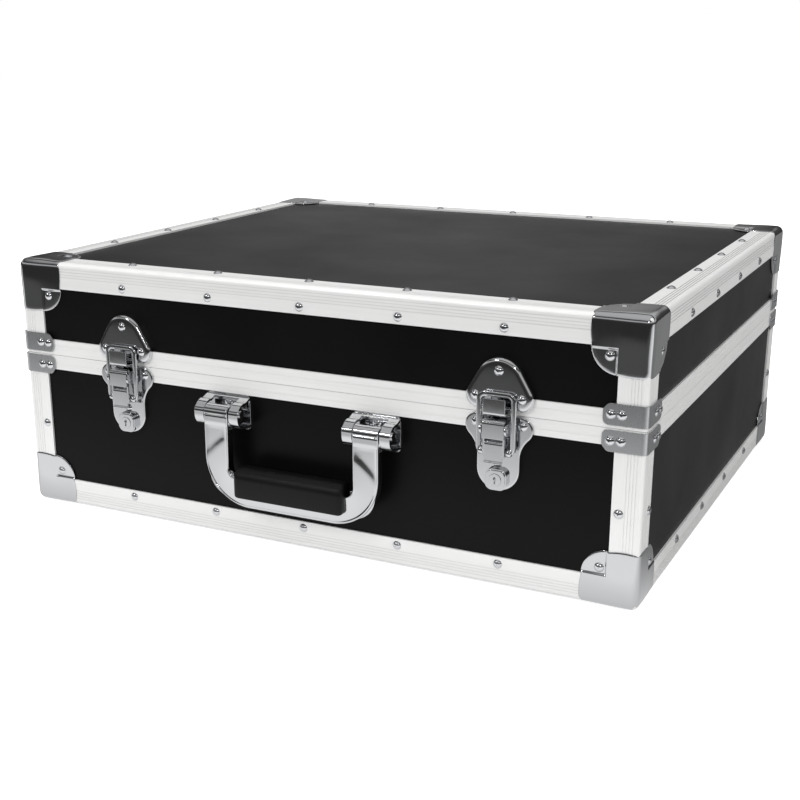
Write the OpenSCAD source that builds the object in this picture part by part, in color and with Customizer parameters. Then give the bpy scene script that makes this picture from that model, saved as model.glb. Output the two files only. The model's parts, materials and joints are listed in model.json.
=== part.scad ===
// Record carrying case: laminated panels in riveted aluminium edges, with a
// deep base, a shallow hinged lid, two draw latches and a swinging bail handle.
// +Z is up, the latches and the handle face -Y, and the case lies on its base caps.
// Room inside: 7-inch singles standing upright in two rows.

/* [Case] */
// Width over the aluminium edges
case_w = 520; // [460:10:640]
// Depth over the aluminium edges, front to back
case_d = 446; // [400:2:560]
// Height of the base's aluminium, up to the seam
base_h = 127.3; // [120:0.1:180]
// Height of the lid's aluminium, down to the seam
lid_h = 76.1; // [72:0.1:120]
// Gap between the two rims when the lid is shut
seam_gap = 0.3; // [0.2:0.05:0.6]

/* [Panels and foam] */
// Thickness of the laminated panels
panel_t = 5; // [4:0.5:7]
// Thickness of the foam sheets
foam_t = 3; // [2:0.5:4]
// Thickness of the divider board
divider_t = 5; // [3:0.5:8]
// How far the divider's top stays below the seam
divider_drop = 6; // [3:0.5:30]
// Height of the finger dip in the divider's top edge
divider_dip = 28; // [10:1:50]
// Running gap round the divider
divider_gap = 0.3; // [0.2:0.05:0.6]

/* [Aluminium edges] */
// Width of each leg of the edge profile
leg_w = 21.2; // [19:0.1:24]
// Thickness of the edge profile's outer legs
leg_t = 1.6; // [1.4:0.1:2]
// Outside corner radius of the edge profile
edge_r = 3.4; // [2.5:0.1:3.6]
// Thickness of the edge profile's inner legs
web_t = 1.2; // [1:0.1:1.6]
// Reach of the inner legs from the outside face
web_reach = 12; // [11:0.1:14]
// Grooves on each outer leg
groove_n = 4; // [1:1:5]
// Spacing of the grooves
groove_pitch = 2.2; // [1.6:0.1:2.4]
// First groove, from the corner
groove_start = 4.6; // [4:0.1:5]
// Width of a groove
groove_w = 0.8; // [0.5:0.1:1]
// Depth of a groove
groove_deep = 0.3; // [0.2:0.05:0.4]

/* [Rims] */
// Height of the base's rim profile
rim_base_h = 11.8; // [11:0.1:14]
// Height of the lid's rim profile
rim_lid_h = 12.5; // [11:0.1:14]
// Height of the rim's inner leg
rim_inner_h = 8; // [6:0.1:9]
// Height of the base's lip inside the lid
lip_h = 4; // [3:0.1:6]
// Thickness of the lip
lip_t = 1.2; // [1:0.1:1.6]
// Gap between the lip and the lid's rim
lip_gap = 0.4; // [0.35:0.05:0.8]

/* [Corner caps and braces] */
// Thickness of the corner caps
cap_t = 1.4; // [1:0.1:2]
// Length of a cap's legs
cap_leg = 40.5; // [36:0.5:46]
// Place of a cap's rivets from the aluminium's edges
cap_rivet_in = 27.5; // [26:0.5:30]
// Thickness of the rim braces
brace_t = 1.2; // [1:0.1:1.6]
// Length of a brace's legs
brace_leg = 30; // [28:0.5:34]
// Height of a brace
brace_h = 15; // [13:0.1:18]
// Gap from a base brace to the seam
brace_base_gap = 0.9; // [0.5:0.1:2]
// Gap from a lid brace to the seam
brace_lid_gap = 2.4; // [1:0.1:4]
// Corner cut on the far ends of a brace
brace_cut = 4.5; // [2:0.1:6]
// Radius on a brace's ends at the seam
brace_r = 4; // [2:0.1:5]

/* [Rivets] */
// Diameter of a rivet's domed head
rivet_head_d = 7; // [6:0.1:8]
// Height of the head
rivet_head_h = 1.9; // [1.4:0.1:2.4]
// Diameter of a rivet's shank
rivet_d = 3.2; // [2.8:0.1:3.6]
// Radial gap round a shank
rivet_gap = 0.05; // [0.02:0.01:0.1]
// Rivets along the front and back edges
rivets_long = 5; // [3:1:5]
// Rivets along the side edges
rivets_side = 4; // [2:1:4]
// Spacing of the rivets
rivet_pitch = 79.3; // [70:0.1:84]
// Place of the edge rivets from the aluminium's edge
rivet_in = 16; // [15.5:0.1:17]
// Height of the rivet in each base upright
upright_rivet_z = 68; // [50:1:80]

/* [Handle] */
// Distance of each bracket from the middle
handle_x = 63.2; // [55:0.1:72]
// Height of the pins below the seam
handle_drop = 23.2; // [22:0.1:30]
// How far the pins stand out from the aluminium
pin_out = 14.2; // [13.5:0.1:15]
// Diameter of the handle's pins
pin_d = 4; // [3.5:0.1:5]
// Running gap round the handle's pins
pin_gap = 0.06; // [0.02:0.01:0.1]
// Width of the bail's arms
arm_w = 20.6; // [18:0.1:22]
// Side gap between an arm and its bracket
arm_gap = 0.8; // [0.4:0.1:1]
// How far the bail's front stands out from the aluminium
bail_out = 20; // [19.5:0.1:21]
// Thickness of the bail's plate
bail_t = 2; // [1.5:0.1:2.5]
// Depth of the bail with its turned-back flanges
bail_deep = 7.6; // [5:0.1:9]
// Height of the bail from its pins to its lower edge
bail_drop = 71.5; // [66:0.5:74]
// Outside corner radius of the bail
bail_r = 38; // [30:1:42]
// Width of a bracket's ears
ear_w = 8; // [6:0.1:9]
// Thickness of the bracket's plate
bracket_t = 1.8; // [1.5:0.1:2.2]
// Outside radius of the brackets' rolled ears
roll_r = 4.6; // [4.2:0.1:5.2]
// Length of the grip
grip_len = 92; // [80:0.2:96]
// How far the grip's front stands out from the aluminium
grip_out = 25; // [23:0.1:28]
// Thickness of the grip, front to back
grip_deep = 17; // [14:0.1:19]
// Height of the grip
grip_h = 23.5; // [20:0.1:25]
// Height of the bail's bar below the grip
grip_lift = 8.5; // [6:0.1:10]

/* [Latches] */
// Distance of each latch's middle from the case's side
latch_in = 102.5; // [80:0.5:120]
// How far the keeper's face stands out from the aluminium
keeper_out = 4.2; // [4:0.1:5]
// Slope of the keeper's pressed rim, measured along the face
keeper_slope = 3.4; // [2:0.1:3.5]
// Radius of the keeper's top
keeper_r = 18; // [16:0.1:19]
// Radius of the keeper's two lobes
lobe_r = 9.5; // [9:0.1:10]
// Distance of a lobe from the latch's middle
lobe_x = 15.7; // [15:0.1:17]
// Thickness of the latch's sheet metal
sheet_t = 1.4; // [1.2:0.1:1.6]
// Width of the hook and of the lever
hook_w = 16; // [15:0.1:17]
// How far the hook stands out from the aluminium
hook_out = 12; // [11.5:0.1:12.5]
// Height of the hook's shelf above the seam
hook_top = 13; // [12:0.1:13.4]
// How far the latch plate's face stands out from the aluminium
plate_out = 1.8; // [1.6:0.1:2]
// Half the width of the latch plate's stem
stem_r = 15.75; // [15:0.05:16.5]
// Height of the latch plate
latch_plate_h = 54.9; // [54:0.1:58]
// Radius of the plate's wings
wing_r = 9.2; // [9:0.1:9.6]
// Distance of the wings' middles from the latch's middle
wing_x = 15.8; // [15:0.1:17]
// Radius of the waist between wing and stem
waist_r = 20; // [16:0.5:24]
// How far the lever's front stands out from the aluminium
lever_out = 13; // [12.8:0.1:13.6]
// Length of the lever
lever_len = 30.9; // [29:0.1:31.5]
// How far the lever's lower part lies behind its upper part
lever_set = 1.6; // [1:0.1:2]
// Diameter of the lever's pin
lever_pin_d = 3; // [2.6:0.1:3.2]
// Radial gap round the latch's pins
latch_pin_gap = 0.06; // [0.02:0.01:0.1]
// Outside width of the loop
loop_w = 29; // [28.6:0.1:30]
// Width of the loop's bar
loop_bar = 3.7; // [3.3:0.1:3.8]
// Thickness of the loop, front to back
loop_t = 2.5; // [2:0.1:2.8]
// Gap between the loop and the keeper's rivets
loop_back_gap = 0.4; // [0.3:0.05:0.6]
// Gap between the loop's bar and the hook's shelf
loop_gap = 0.4; // [0.35:0.05:0.6]
// Width of the lock's housing
lock_w = 15.7; // [14:0.1:17]
// How far the lock's housing stands out from the aluminium
lock_out = 6.4; // [6:0.1:8]
// Diameter of the lock's cylinder
lock_d = 9; // [8:0.1:10]

/* [Hinges and feet] */
// Distance of each hinge's middle from the case's side
hinge_in = 110; // [100:1:125]
// Length of a hinge
hinge_len = 64; // [50:1:80]
// Outside radius of the knuckles
knuckle_r = 3.2; // [3:0.1:3.5]
// Gap between the knuckles and the rims
knuckle_gap = 0.4; // [0.3:0.05:0.6]
// Diameter of the hinge pins
hinge_pin_d = 3.2; // [2.8:0.1:3.6]
// Height of a hinge leaf
leaf_h = 36; // [32:0.5:40]
// Distance of each foot's middle from the case's side
foot_in = 50; // [44:1:56]
// Height of the rubber feet
foot_h = 10; // [9:0.5:14]
// Radius of the rubber feet
foot_r = 12; // [10:0.5:14]

/* [Hidden] */
$fn = 64;
eps = 0.01;

// Walls are numbered from the front, counter-clockwise seen from above.
FRONT = 0;
RIGHT = 1;
BACK = 2;
LEFT = 3;

// Depths below the aluminium's outside face
panel_in = leg_t + panel_t;          // inside face of a panel
slot_in = panel_in + web_t;          // where a panel's edge meets the profile
foam_in = panel_in + foam_t;         // inside face of the foam

// Heights
base_z = cap_t;                      // underside of the base's aluminium
seam_z = base_z + base_h;
lid_z = seam_z + lid_h;              // top of the lid's aluminium
pin_z = seam_z - handle_drop;        // the handle's pins

// The origin lies under the middle of everything, from the grip to the feet
foot_out = foot_h - leg_t;
mid_y = (grip_out - foot_out) / 2;

rivet_hole_r = rivet_d / 2 + rivet_gap;

// Places of the fittings from the middle
latch_x = case_w / 2 - latch_in;
hinge_x = case_w / 2 - hinge_in;
foot_x = case_w / 2 - foot_in;

// ---------- frames ----------

// The case's own middle line
module at_case() { translate([0, mid_y, 0]) children(); }

// A tray has its outside face at z = 0 and opens upwards; the lid is one upside down
module base_tray() { at_case() translate([0, 0, base_z]) children(); }
module lid_tray() { at_case() translate([0, 0, lid_z]) mirror([0, 0, 1]) children(); }

function along(i) = (i % 2 == 0 ? case_w : case_d) / 2;   // half a wall's length
function across(i) = (i % 2 == 0 ? case_d : case_w) / 2;  // a wall's distance from the middle

// On a wall: x runs along it, y up, and z out of it
module on_wall(i) {
    rotate([0, 0, 90 * i]) translate([0, -across(i), 0]) rotate([90, 0, 0]) children();
}

// On the floor next to a wall: x runs along the wall, y inwards, and z up
module on_floor(i) { rotate([0, 0, 90 * i]) translate([0, -across(i), 0]) children(); }

// At each corner of a tray, with the axes running inwards
module at_corners() {
    for (sx = [0, 1], sy = [0, 1])
        mirror([sx, 0, 0]) mirror([0, sy, 0])
            translate([-case_w / 2, -case_d / 2, 0]) children();
}

// Fittings on the front or the back, measured from the seam
module at_latch(side) { at_case() translate([side * latch_x, -case_d / 2, seam_z]) children(); }
module at_handle() { at_case() translate([0, -case_d / 2, pin_z]) children(); }
module at_hinge(side) {
    at_case() translate([side * hinge_x, case_d / 2, seam_z]) mirror([0, 1, 0]) children();
}

// Extrudes a front view outwards, from one distance in front of the aluminium to another
module face(from, to) { rotate([90, 0, 0]) translate([0, 0, from]) linear_extrude(to - from) children(); }

// Extrudes a side view, drawn as [distance outwards, height], along x
module side_view(width) {
    rotate([90, 0, 90]) linear_extrude(width, center = true) mirror([1, 0]) children();
}

// ---------- flat shapes ----------

module rounded_rect(w, d, r) {
    square([w - 2 * r, d], center = true);
    square([w, d - 2 * r], center = true);
    for (sx = [-1, 1], sy = [-1, 1]) translate([sx * (w / 2 - r), sy * (d / 2 - r)]) circle(r = r);
}

// A square whose corner at the origin is rounded
module round_quadrant(size, r) {
    difference() {
        square(size);
        difference() {
            square(r);
            translate([r, r]) circle(r = r);
        }
    }
}

// Outside normal of the line that touches two discs [x, y, r] on their right-hand side
function touch_normal(a, b) =
    let (v = [b.x - a.x, b.y - a.y], d = v / norm(v), c = (a.z - b.z) / norm(v))
    d * c + [d.y, -d.x] * sqrt(1 - c * c);

// Points on a disc [x, y, r], from one angle through a turn, counter-clockwise
function arc(disc, start, turn, steps = 12) =
    [for (k = [0:steps]) let (t = start + turn * k / steps) [disc.x, disc.y] + disc.z * [cos(t), sin(t)]];

// Discs, listed counter-clockwise, wrapped by straight lines that touch them
module wrapped(discs) {
    n = len(discs);
    normals = [for (i = [0:n - 1]) touch_normal(discs[i], discs[(i + 1) % n])];
    headings = [for (m = normals) atan2(m.y, m.x)];
    polygon([for (i = [0:n - 1])
        let (start = headings[(i + n - 1) % n], turn = (headings[i] - start + 720) % 360)
        each arc(discs[i], start, turn)]);
}

// ---------- rivets ----------

function row(n, pitch) = [for (i = [0:n - 1]) (i - (n - 1) / 2) * pitch];
function row_of(i) = row(i % 2 == 0 ? rivets_long : rivets_side, rivet_pitch);
function both(points) = concat(points, [for (p = points) [-p.x, p.y]]);

// Places on a wall, as [along, height] in the tray
function edge_spots(i) = [for (a = row_of(i)) [a, rivet_in]];
function upright_spots(i) = both([[along(i) - rivet_in, upright_rivet_z]]);
function cap_spots(i) = both([[along(i) - cap_rivet_in, cap_rivet_in]]);
function brace_spots(i, z) = both([for (d = brace_rivets) [along(i) - d, z]]);

brace_rivets = [17, 24.5];           // from the aluminium's edge
brace_base_z = base_h - brace_base_gap - brace_h / 2;
brace_lid_z = lid_h - brace_lid_gap - brace_h / 2;

head_r = rivet_head_d / 2;
ball_r = (head_r * head_r + rivet_head_h * rivet_head_h) / (2 * rivet_head_h);

// Height of a rivet's head at a distance from its middle
function head_height(r) = r < head_r ? sqrt(ball_r * ball_r - r * r) - ball_r + rivet_head_h : 0;

module rivet(grip) {
    rotate_extrude() {
        intersection() {
            translate([0, rivet_head_h - ball_r]) circle(r = ball_r);
            square([head_r, rivet_head_h]);
        }
        translate([0, -grip]) square([rivet_d / 2, grip + eps]);
    }
}

// Rivets on a wall, with their heads' seat that far out of the aluminium
module wall_rivets(i, spots, seat) {
    on_wall(i) for (s = spots) translate([s.x, s.y, seat]) rivet(seat + panel_in);
}

// The matching holes, through everything that the rivets hold
module wall_holes(i, spots) {
    deep = panel_in + web_t / 2;
    on_wall(i) for (s = spots) translate([s.x, s.y, -deep]) cylinder(r = rivet_hole_r, h = deep + cap_t + plate_out);
}

module floor_rivets(i) {
    on_floor(i) for (s = edge_spots(i)) translate([s.x, s.y, 0]) mirror([0, 0, 1]) rivet(panel_in);
}

module floor_holes(i) {
    on_floor(i) for (s = edge_spots(i))
        translate([s.x, s.y, -eps]) cylinder(r = rivet_hole_r, h = panel_in + 2 * eps);
}

module cap_floor_rivets() {
    at_corners() translate([cap_rivet_in, cap_rivet_in, leg_t - cap_t]) mirror([0, 0, 1]) rivet(cap_t + panel_t);
}

module cap_floor_holes() {
    at_corners() translate([cap_rivet_in, cap_rivet_in, -cap_t])
        cylinder(r = rivet_hole_r, h = panel_in + cap_t + eps);
}

// ---------- places of the fittings' rivets ----------

keeper_top_z = 40.3 - keeper_r;      // middle of the keeper's top, above the seam
lobe_z = 12.3;                       // middles of its lobes
keeper_rivets = [[0, 31.1], [-16.8, 12.5], [16.8, 12.5]];
wing_z = -0.4 - wing_r;
stem_z = -0.4 - latch_plate_h + stem_r;
plate_rivets = [[-17.5, -6.7], [17.5, -6.7], [0, -34.9]];
bracket_rivets = [[0, 4.4], [0, -11.3]];
leaf_rivet_z = leaf_h - 8;
leaf_rivets = [-22, 0, 22];
foot_base_z = 46;
foot_lid_z = 44;

function latch_spots(points, z, sign) =
    [for (side = [-1, 1], p = points) [side * latch_x + p.x, z + sign * p.y]];
function base_fitting_spots(i) =
    i == FRONT ? concat(
        latch_spots(plate_rivets, base_h, 1),
        [for (side = [-1, 1], p = bracket_rivets) [side * handle_x + p.x, base_h - handle_drop + p.y]]) :
    i == BACK ? concat(
        [for (side = [-1, 1], a = leaf_rivets) [side * hinge_x + a, base_h - leaf_rivet_z]],
        both([[foot_x, foot_base_z]])) : [];
function lid_fitting_spots(i) =
    i == FRONT ? latch_spots(keeper_rivets, lid_h, -1) :
    i == BACK ? concat(
        [for (side = [-1, 1], a = leaf_rivets) [side * hinge_x + a, lid_h - leaf_rivet_z]],
        both([[foot_x, foot_lid_z]])) : [];

function base_spots(i) = concat(edge_spots(i), upright_spots(i), cap_spots(i),
    brace_spots(i, brace_base_z), base_fitting_spots(i));
function lid_spots(i) = concat(edge_spots(i), cap_spots(i),
    brace_spots(i, brace_lid_z), lid_fitting_spots(i));

// ---------- trays: panels, edges, rims ----------

module floor_panel() {
    difference() {
        translate([0, 0, leg_t + panel_t / 2])
            cube([case_w - 2 * slot_in, case_d - 2 * slot_in, panel_t], center = true);
        for (i = [FRONT:LEFT]) floor_holes(i);
        cap_floor_holes();
    }
}

module wall_panel(i, h, spots) {
    difference() {
        on_wall(i) translate([-(along(i) - slot_in), slot_in, -panel_in])
            cube([2 * (along(i) - slot_in), h - seam_gap / 2 - leg_t - slot_in, panel_t]);
        wall_holes(i, spots);
    }
}

// Outer angle of the edge profile, with its corner at the origin
module outer_angle() {
    difference() {
        round_quadrant(leg_w, edge_r);
        translate([leg_t, leg_t]) square(leg_w);
        for (g = [0:groove_n - 1]) {
            translate([groove_start + g * groove_pitch, -eps]) square([groove_w, groove_deep + eps]);
            translate([-eps, groove_start + g * groove_pitch]) square([groove_deep + eps, groove_w]);
        }
    }
}

// Inner legs: with the outer angle they make one slot for each panel
module inner_angle() {
    translate([leg_t, panel_in]) square([web_reach - leg_t, web_t]);
    translate([panel_in, leg_t]) square([web_t, web_reach - leg_t]);
}

// What rounding takes off an edge that runs along z from the origin
module edge_waste(r, length) {
    translate([0, 0, -eps]) linear_extrude(length + 2 * eps) difference() {
        translate([-eps, -eps]) square(r + eps);
        translate([r, r]) circle(r = r);
    }
}

// What rounding takes off the corner at the origin
module corner_waste(r) {
    difference() {
        translate([-eps, -eps, -eps]) cube(r + eps);
        translate([r, r, r]) sphere(r = r);
    }
}

// Swaps the three axes round, so that one shape serves all three faces of a corner
module axes_turned(turn) {
    if (turn == 0) children();
    if (turn == 1) rotate([90, 0, 90]) children();
    if (turn == 2) rotate([0, -90, -90]) children();
}

// Edge between the floor and a wall; the front and back ones run through to the corners
module edge_bar(i, spots) {
    runs_through = i % 2 == 0;
    outer_half = runs_through ? along(i) : along(i) - leg_t;
    inner_half = along(i) - (runs_through ? slot_in : web_reach);
    difference() {
        on_floor(i) rotate([90, 0, 90]) {
            linear_extrude(2 * outer_half, center = true) outer_angle();
            linear_extrude(2 * inner_half, center = true) inner_angle();
        }
        if (!runs_through)
            for (s = [-1, 1]) on_floor(i) translate([s * along(i), 0, leg_t / 2 - eps])
                cube([2 * leg_w, 3 * leg_w, leg_t + 2 * eps], center = true);
        at_corners() {
            edge_waste(edge_r, leg_w);
            if (runs_through) axes_turned(1) edge_waste(edge_r, leg_w);
            if (runs_through) axes_turned(2) edge_waste(edge_r, leg_w);
            corner_waste(edge_r);
        }
        wall_holes(i, spots);
        floor_holes(i);
    }
}

module uprights(h, rim_h, all_spots) {
    top = h - seam_gap / 2 - rim_h;
    difference() {
        at_corners() {
            translate([0, 0, leg_w]) linear_extrude(top - leg_w) outer_angle();
            translate([0, 0, web_reach]) linear_extrude(top - web_reach) inner_angle();
        }
        for (i = [FRONT:LEFT]) wall_holes(i, all_spots[i]);
    }
}

// A ring round the case, between two heights and two depths below the aluminium's face
module ring(z0, z1, u0, u1) {
    translate([0, 0, z0]) linear_extrude(z1 - z0) difference() {
        rounded_rect(case_w - 2 * u0, case_d - 2 * u0, max(edge_r - u0, 0.5));
        rounded_rect(case_w - 2 * u1, case_d - 2 * u1, max(edge_r - u1, 0.5));
    }
}

// Channel that closes a tray's walls at the seam
module rim(h, rim_h, flange_in, spots) {
    top = h - seam_gap / 2;
    difference() {
        union() {
            ring(top - rim_h, top, 0, leg_t);
            ring(top - leg_t, top, leg_t - eps, flange_in);
            ring(top - rim_inner_h, top, panel_in, slot_in);
        }
        ring(top - rim_h * 0.62, top - rim_h * 0.62 + groove_w, -1, groove_deep);
        for (i = [FRONT:LEFT]) wall_holes(i, spots[i]);
    }
}

// ---------- corner hardware ----------

// One face of a corner cap: an angle on the aluminium and an ear let down onto the panel
module cap_face() {
    ear_r = cap_leg - leg_w;
    translate([0, 0, -cap_t]) linear_extrude(cap_t) {
        translate([-cap_t, -cap_t]) square([cap_leg + cap_t, leg_w + cap_t]);
        translate([-cap_t, -cap_t]) square([leg_w + cap_t, cap_leg + cap_t]);
    }
    intersection() {
        translate([leg_w, leg_w, -cap_t]) cylinder(r = ear_r, h = leg_t + cap_t);
        translate([leg_w, leg_w, -cap_t]) union() {
            translate([0, 0, leg_t]) cube([ear_r, ear_r, cap_t]);
            cube([ear_r, cap_t, leg_t + cap_t]);
            cube([cap_t, ear_r, leg_t + cap_t]);
        }
    }
}

module corner_cap() {
    length = cap_leg + cap_t + 1;
    difference() {
        union() {
            for (turn = [0:2]) axes_turned(turn) cap_face();
            // inside fillets, against the rounded edges of the aluminium
            for (turn = [0:2]) axes_turned(turn) translate([0, 0, edge_r]) edge_waste(edge_r, cap_leg - edge_r - eps);
            corner_waste(edge_r);
        }
        translate([-cap_t, -cap_t, -cap_t]) {
            for (turn = [0:2]) axes_turned(turn) edge_waste(edge_r + cap_t, length);
            corner_waste(edge_r + cap_t);
        }
        for (turn = [0:2]) axes_turned(turn)
            translate([cap_rivet_in, cap_rivet_in, -cap_t - 1]) cylinder(r = rivet_hole_r, h = leg_t + cap_t + 2);
    }
}

// Front view of a brace's leg, with its far side at z = 0: cut there, round at the seam
module brace_leg_view() {
    polygon(concat(
        [[-brace_t - 1, brace_h], [-brace_t - 1, 0], [brace_leg - brace_cut, 0],
         [brace_leg - brace_cut * 0.6, 1.1], [brace_leg, brace_cut]],
        arc([brace_leg - brace_r, brace_h - brace_r, brace_r], 0, 90, 8)));
}

module brace() {
    intersection() {
        linear_extrude(brace_h) difference() {
            translate([-brace_t, -brace_t]) round_quadrant(brace_leg + brace_t, edge_r + brace_t);
            round_quadrant(brace_leg + 1, edge_r);
        }
        rotate([90, 0, 0]) translate([0, 0, -brace_leg - 1]) linear_extrude(2 * brace_leg) brace_leg_view();
        rotate([90, 0, 90]) translate([0, 0, -brace_leg + 1]) linear_extrude(2 * brace_leg) brace_leg_view();
    }
}

module braces(z_rivet) {
    difference() {
        at_corners() translate([0, 0, z_rivet - brace_h / 2]) brace();
        for (i = [FRONT:LEFT]) wall_holes(i, brace_spots(i, z_rivet));
    }
}

// ---------- base ----------

module base_edge(i) color("silver") base_tray() edge_bar(i, concat(edge_spots(i), []));
module base_wall(i) color("#1c1c1c") base_tray() wall_panel(i, base_h, base_spots(i));

module base_bottom_panel() color("#1c1c1c") base_tray() floor_panel();
module base_uprights() color("silver") base_tray()
    uprights(base_h, rim_base_h, [for (i = [FRONT:LEFT]) upright_spots(i)]);

module base_rim_frame() color("silver") base_tray() {
    top = base_h - seam_gap / 2;
    lip_in = slot_in + lip_gap;
    rim(base_h, rim_base_h, lip_in + lip_t, [for (i = [FRONT:LEFT])
        concat(brace_spots(i, brace_base_z), base_fitting_spots(i))]);
    ring(top - leg_t, top + lip_h, lip_in, lip_in + lip_t);
}

module base_corner_caps() color("gainsboro") base_tray() at_corners() corner_cap();

module base_rim_braces() color("gainsboro") base_tray()
    braces(brace_base_z);

module base_rivets() color("white") base_tray() {
    for (i = [FRONT:LEFT]) {
        wall_rivets(i, concat(edge_spots(i), upright_spots(i)), 0);
        wall_rivets(i, cap_spots(i), cap_t - leg_t);
        wall_rivets(i, brace_spots(i, brace_base_z), brace_t);
        floor_rivets(i);
    }
    cap_floor_rivets();
    wall_rivets(FRONT, latch_spots(plate_rivets, base_h, 1), plate_out);
    wall_rivets(FRONT, [for (side = [-1, 1], p = bracket_rivets)
        [side * handle_x + p.x, base_h - handle_drop + p.y]], bracket_t - leg_t);
    wall_rivets(BACK, [for (side = [-1, 1], a = leaf_rivets)
        [side * hinge_x + a, base_h - leaf_rivet_z]], 0);
    wall_rivets(BACK, both([[foot_x, foot_base_z]]), foot_seat);
}

module base_floor_pad() color("dimgray") base_tray() translate([0, 0, panel_in + foam_t / 2])
    cube([case_w - 2 * foam_edge, case_d - 2 * foam_edge, foam_t], center = true);

foam_edge = web_reach + 0.3;         // the foam stops short of the inner legs
lining_top = base_h - seam_gap / 2 - rim_inner_h - 0.3;

module base_wall_lining() color("dimgray") base_tray() for (i = [FRONT:LEFT])
    on_wall(i) translate([-(along(i) - foam_edge), foam_edge, -foam_in])
        cube([2 * (along(i) - foam_edge), lining_top - foam_edge, foam_t]);

rail_deep = 9;                       // depth of the divider's channels
rail_t = 1.5;
divider_end = case_w / 2 - foam_in - rail_t - divider_gap;
divider_top = base_h - divider_drop;

module divider() color("#2a2a2a") base_tray() rotate([90, 0, 0])
    linear_extrude(divider_t, center = true) difference() {
        translate([-divider_end, foam_in]) square([2 * divider_end, divider_top - foam_in]);
        // finger dip: a wide slot with round ends
        wrapped([[-60, divider_top, divider_dip], [60, divider_top, divider_dip]]);
    }

module divider_rails() color("silver") base_tray() for (s = [0, 1]) mirror([s, 0, 0])
    translate([-case_w / 2 + foam_in, 0, foam_in]) linear_extrude(lining_top - foam_in) difference() {
        width = divider_t + 2 * divider_gap + 2 * rail_t;
        translate([0, -width / 2]) square([rail_deep, width]);
        translate([rail_t, -width / 2 + rail_t]) square([rail_deep, width - 2 * rail_t]);
    }

foot_seat = 3.4;                     // where a foot's rivet sits, out of the aluminium

module foot() {
    difference() {
        cylinder(r1 = foot_r, r2 = foot_r - 2, h = foot_h);
        translate([0, 0, foot_seat + leg_t]) cylinder(r = rivet_head_d / 2 + 1.2, h = foot_h);
        translate([0, 0, -eps]) cylinder(r = rivet_hole_r, h = foot_h);
    }
}

module feet_at(z) { on_wall(BACK) for (s = [-1, 1]) translate([s * foot_x, z, -leg_t]) foot(); }
module base_feet() color("#222222") base_tray() feet_at(foot_base_z);

// ---------- lid ----------

module lid_edge(i) color("silver") lid_tray() edge_bar(i, edge_spots(i));
module lid_wall(i) color("#1c1c1c") lid_tray() wall_panel(i, lid_h, lid_spots(i));
module lid_top_panel() color("#1c1c1c") lid_tray() floor_panel();
module lid_uprights() color("silver") lid_tray() uprights(lid_h, rim_lid_h, [[], [], [], []]);
module lid_rim_frame() color("silver") lid_tray() rim(lid_h, rim_lid_h, slot_in,
    [for (i = [FRONT:LEFT]) concat(brace_spots(i, brace_lid_z), lid_fitting_spots(i))]);
module lid_corner_caps() color("gainsboro") lid_tray() at_corners() corner_cap();
module lid_rim_braces() color("gainsboro") lid_tray()
    braces(brace_lid_z);

module lid_rivets() color("white") lid_tray() {
    for (i = [FRONT:LEFT]) {
        wall_rivets(i, edge_spots(i), 0);
        wall_rivets(i, cap_spots(i), cap_t - leg_t);
        wall_rivets(i, brace_spots(i, brace_lid_z), brace_t);
        floor_rivets(i);
    }
    cap_floor_rivets();
    wall_rivets(FRONT, latch_spots(keeper_rivets, lid_h, -1), keeper_out);
    wall_rivets(BACK, [for (side = [-1, 1], a = leaf_rivets)
        [side * hinge_x + a, lid_h - leaf_rivet_z]], 0);
    wall_rivets(BACK, both([[foot_x, foot_lid_z]]), foot_seat);
}

module lid_pad() color("dimgray") lid_tray() translate([0, 0, panel_in + foam_t / 2])
    cube([case_w - 2 * foam_edge, case_d - 2 * foam_edge, foam_t], center = true);
module lid_feet() color("#222222") lid_tray() feet_at(foot_lid_z);

// ---------- handle ----------

bail_half = handle_x + arm_w / 2;
arm_in = handle_x - arm_w / 2;       // inside edge of an arm, from the middle
core_top = -bail_drop + grip_lift + 14;
ramp_angle = 19;                     // slope of the bracket's top
flange_low = -15.5;
flange_high = handle_drop - rim_base_h - 0.5;

// Side view of a bracket's arched plate, measured from the pin; inset makes it smaller
module bracket_arch(inset) {
    r = roll_r - inset;
    drop_r = 10 - inset;
    drop_x = pin_out + roll_r - 10;
    touch = [pin_out + r * sin(ramp_angle), r * cos(ramp_angle)];
    wall = bracket_t - leg_t;
    polygon([
        [wall, touch.y + (touch.x - wall) * tan(ramp_angle)], [wall, -13.5 + inset],
        [drop_x, -2.5 - drop_r], [drop_x, -2.5], [pin_out + r, -2.5], [pin_out + r, 0],
        [pin_out, 0], touch]);
    translate([pin_out, 0]) circle(r = r);
    translate([drop_x, -2.5]) circle(r = drop_r);
}

module handle_bracket(side) color("gainsboro") at_handle() translate([side * handle_x, 0, 0]) {
    width = arm_w + 2 * arm_gap + 2 * ear_w;
    window = arm_w + 2 * arm_gap;
    difference() {
        union() {
            // flange on the panel
            face(-leg_t, bracket_t - leg_t) translate([0, (flange_high + flange_low) / 2])
                rounded_rect(width, flange_high - flange_low, 3);
            side_view(width) difference() {
                bracket_arch(0);
                bracket_arch(bracket_t);
                translate([bracket_t - leg_t - 20, -30]) square([20, 60]);
            }
            side_view(width) translate([pin_out, 0]) circle(r = roll_r);
        }
        // window for the bail's arm; only a strip at the top still joins the two ears
        translate([-window / 2, -60, -30]) cube([window, 60 - 2.5, 60]);
        translate([-window / 2, -60, -30]) cube([window, 60 + leg_t - bracket_t, 30]);
        side_view(width + 2) translate([pin_out, 0]) circle(d = pin_d + 2 * pin_gap);
        for (p = bracket_rivets) translate([p.x, leg_t + eps, p.y]) rotate([90, 0, 0])
            cylinder(r = rivet_hole_r, h = bracket_t + 2 * eps);
    }
}

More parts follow.
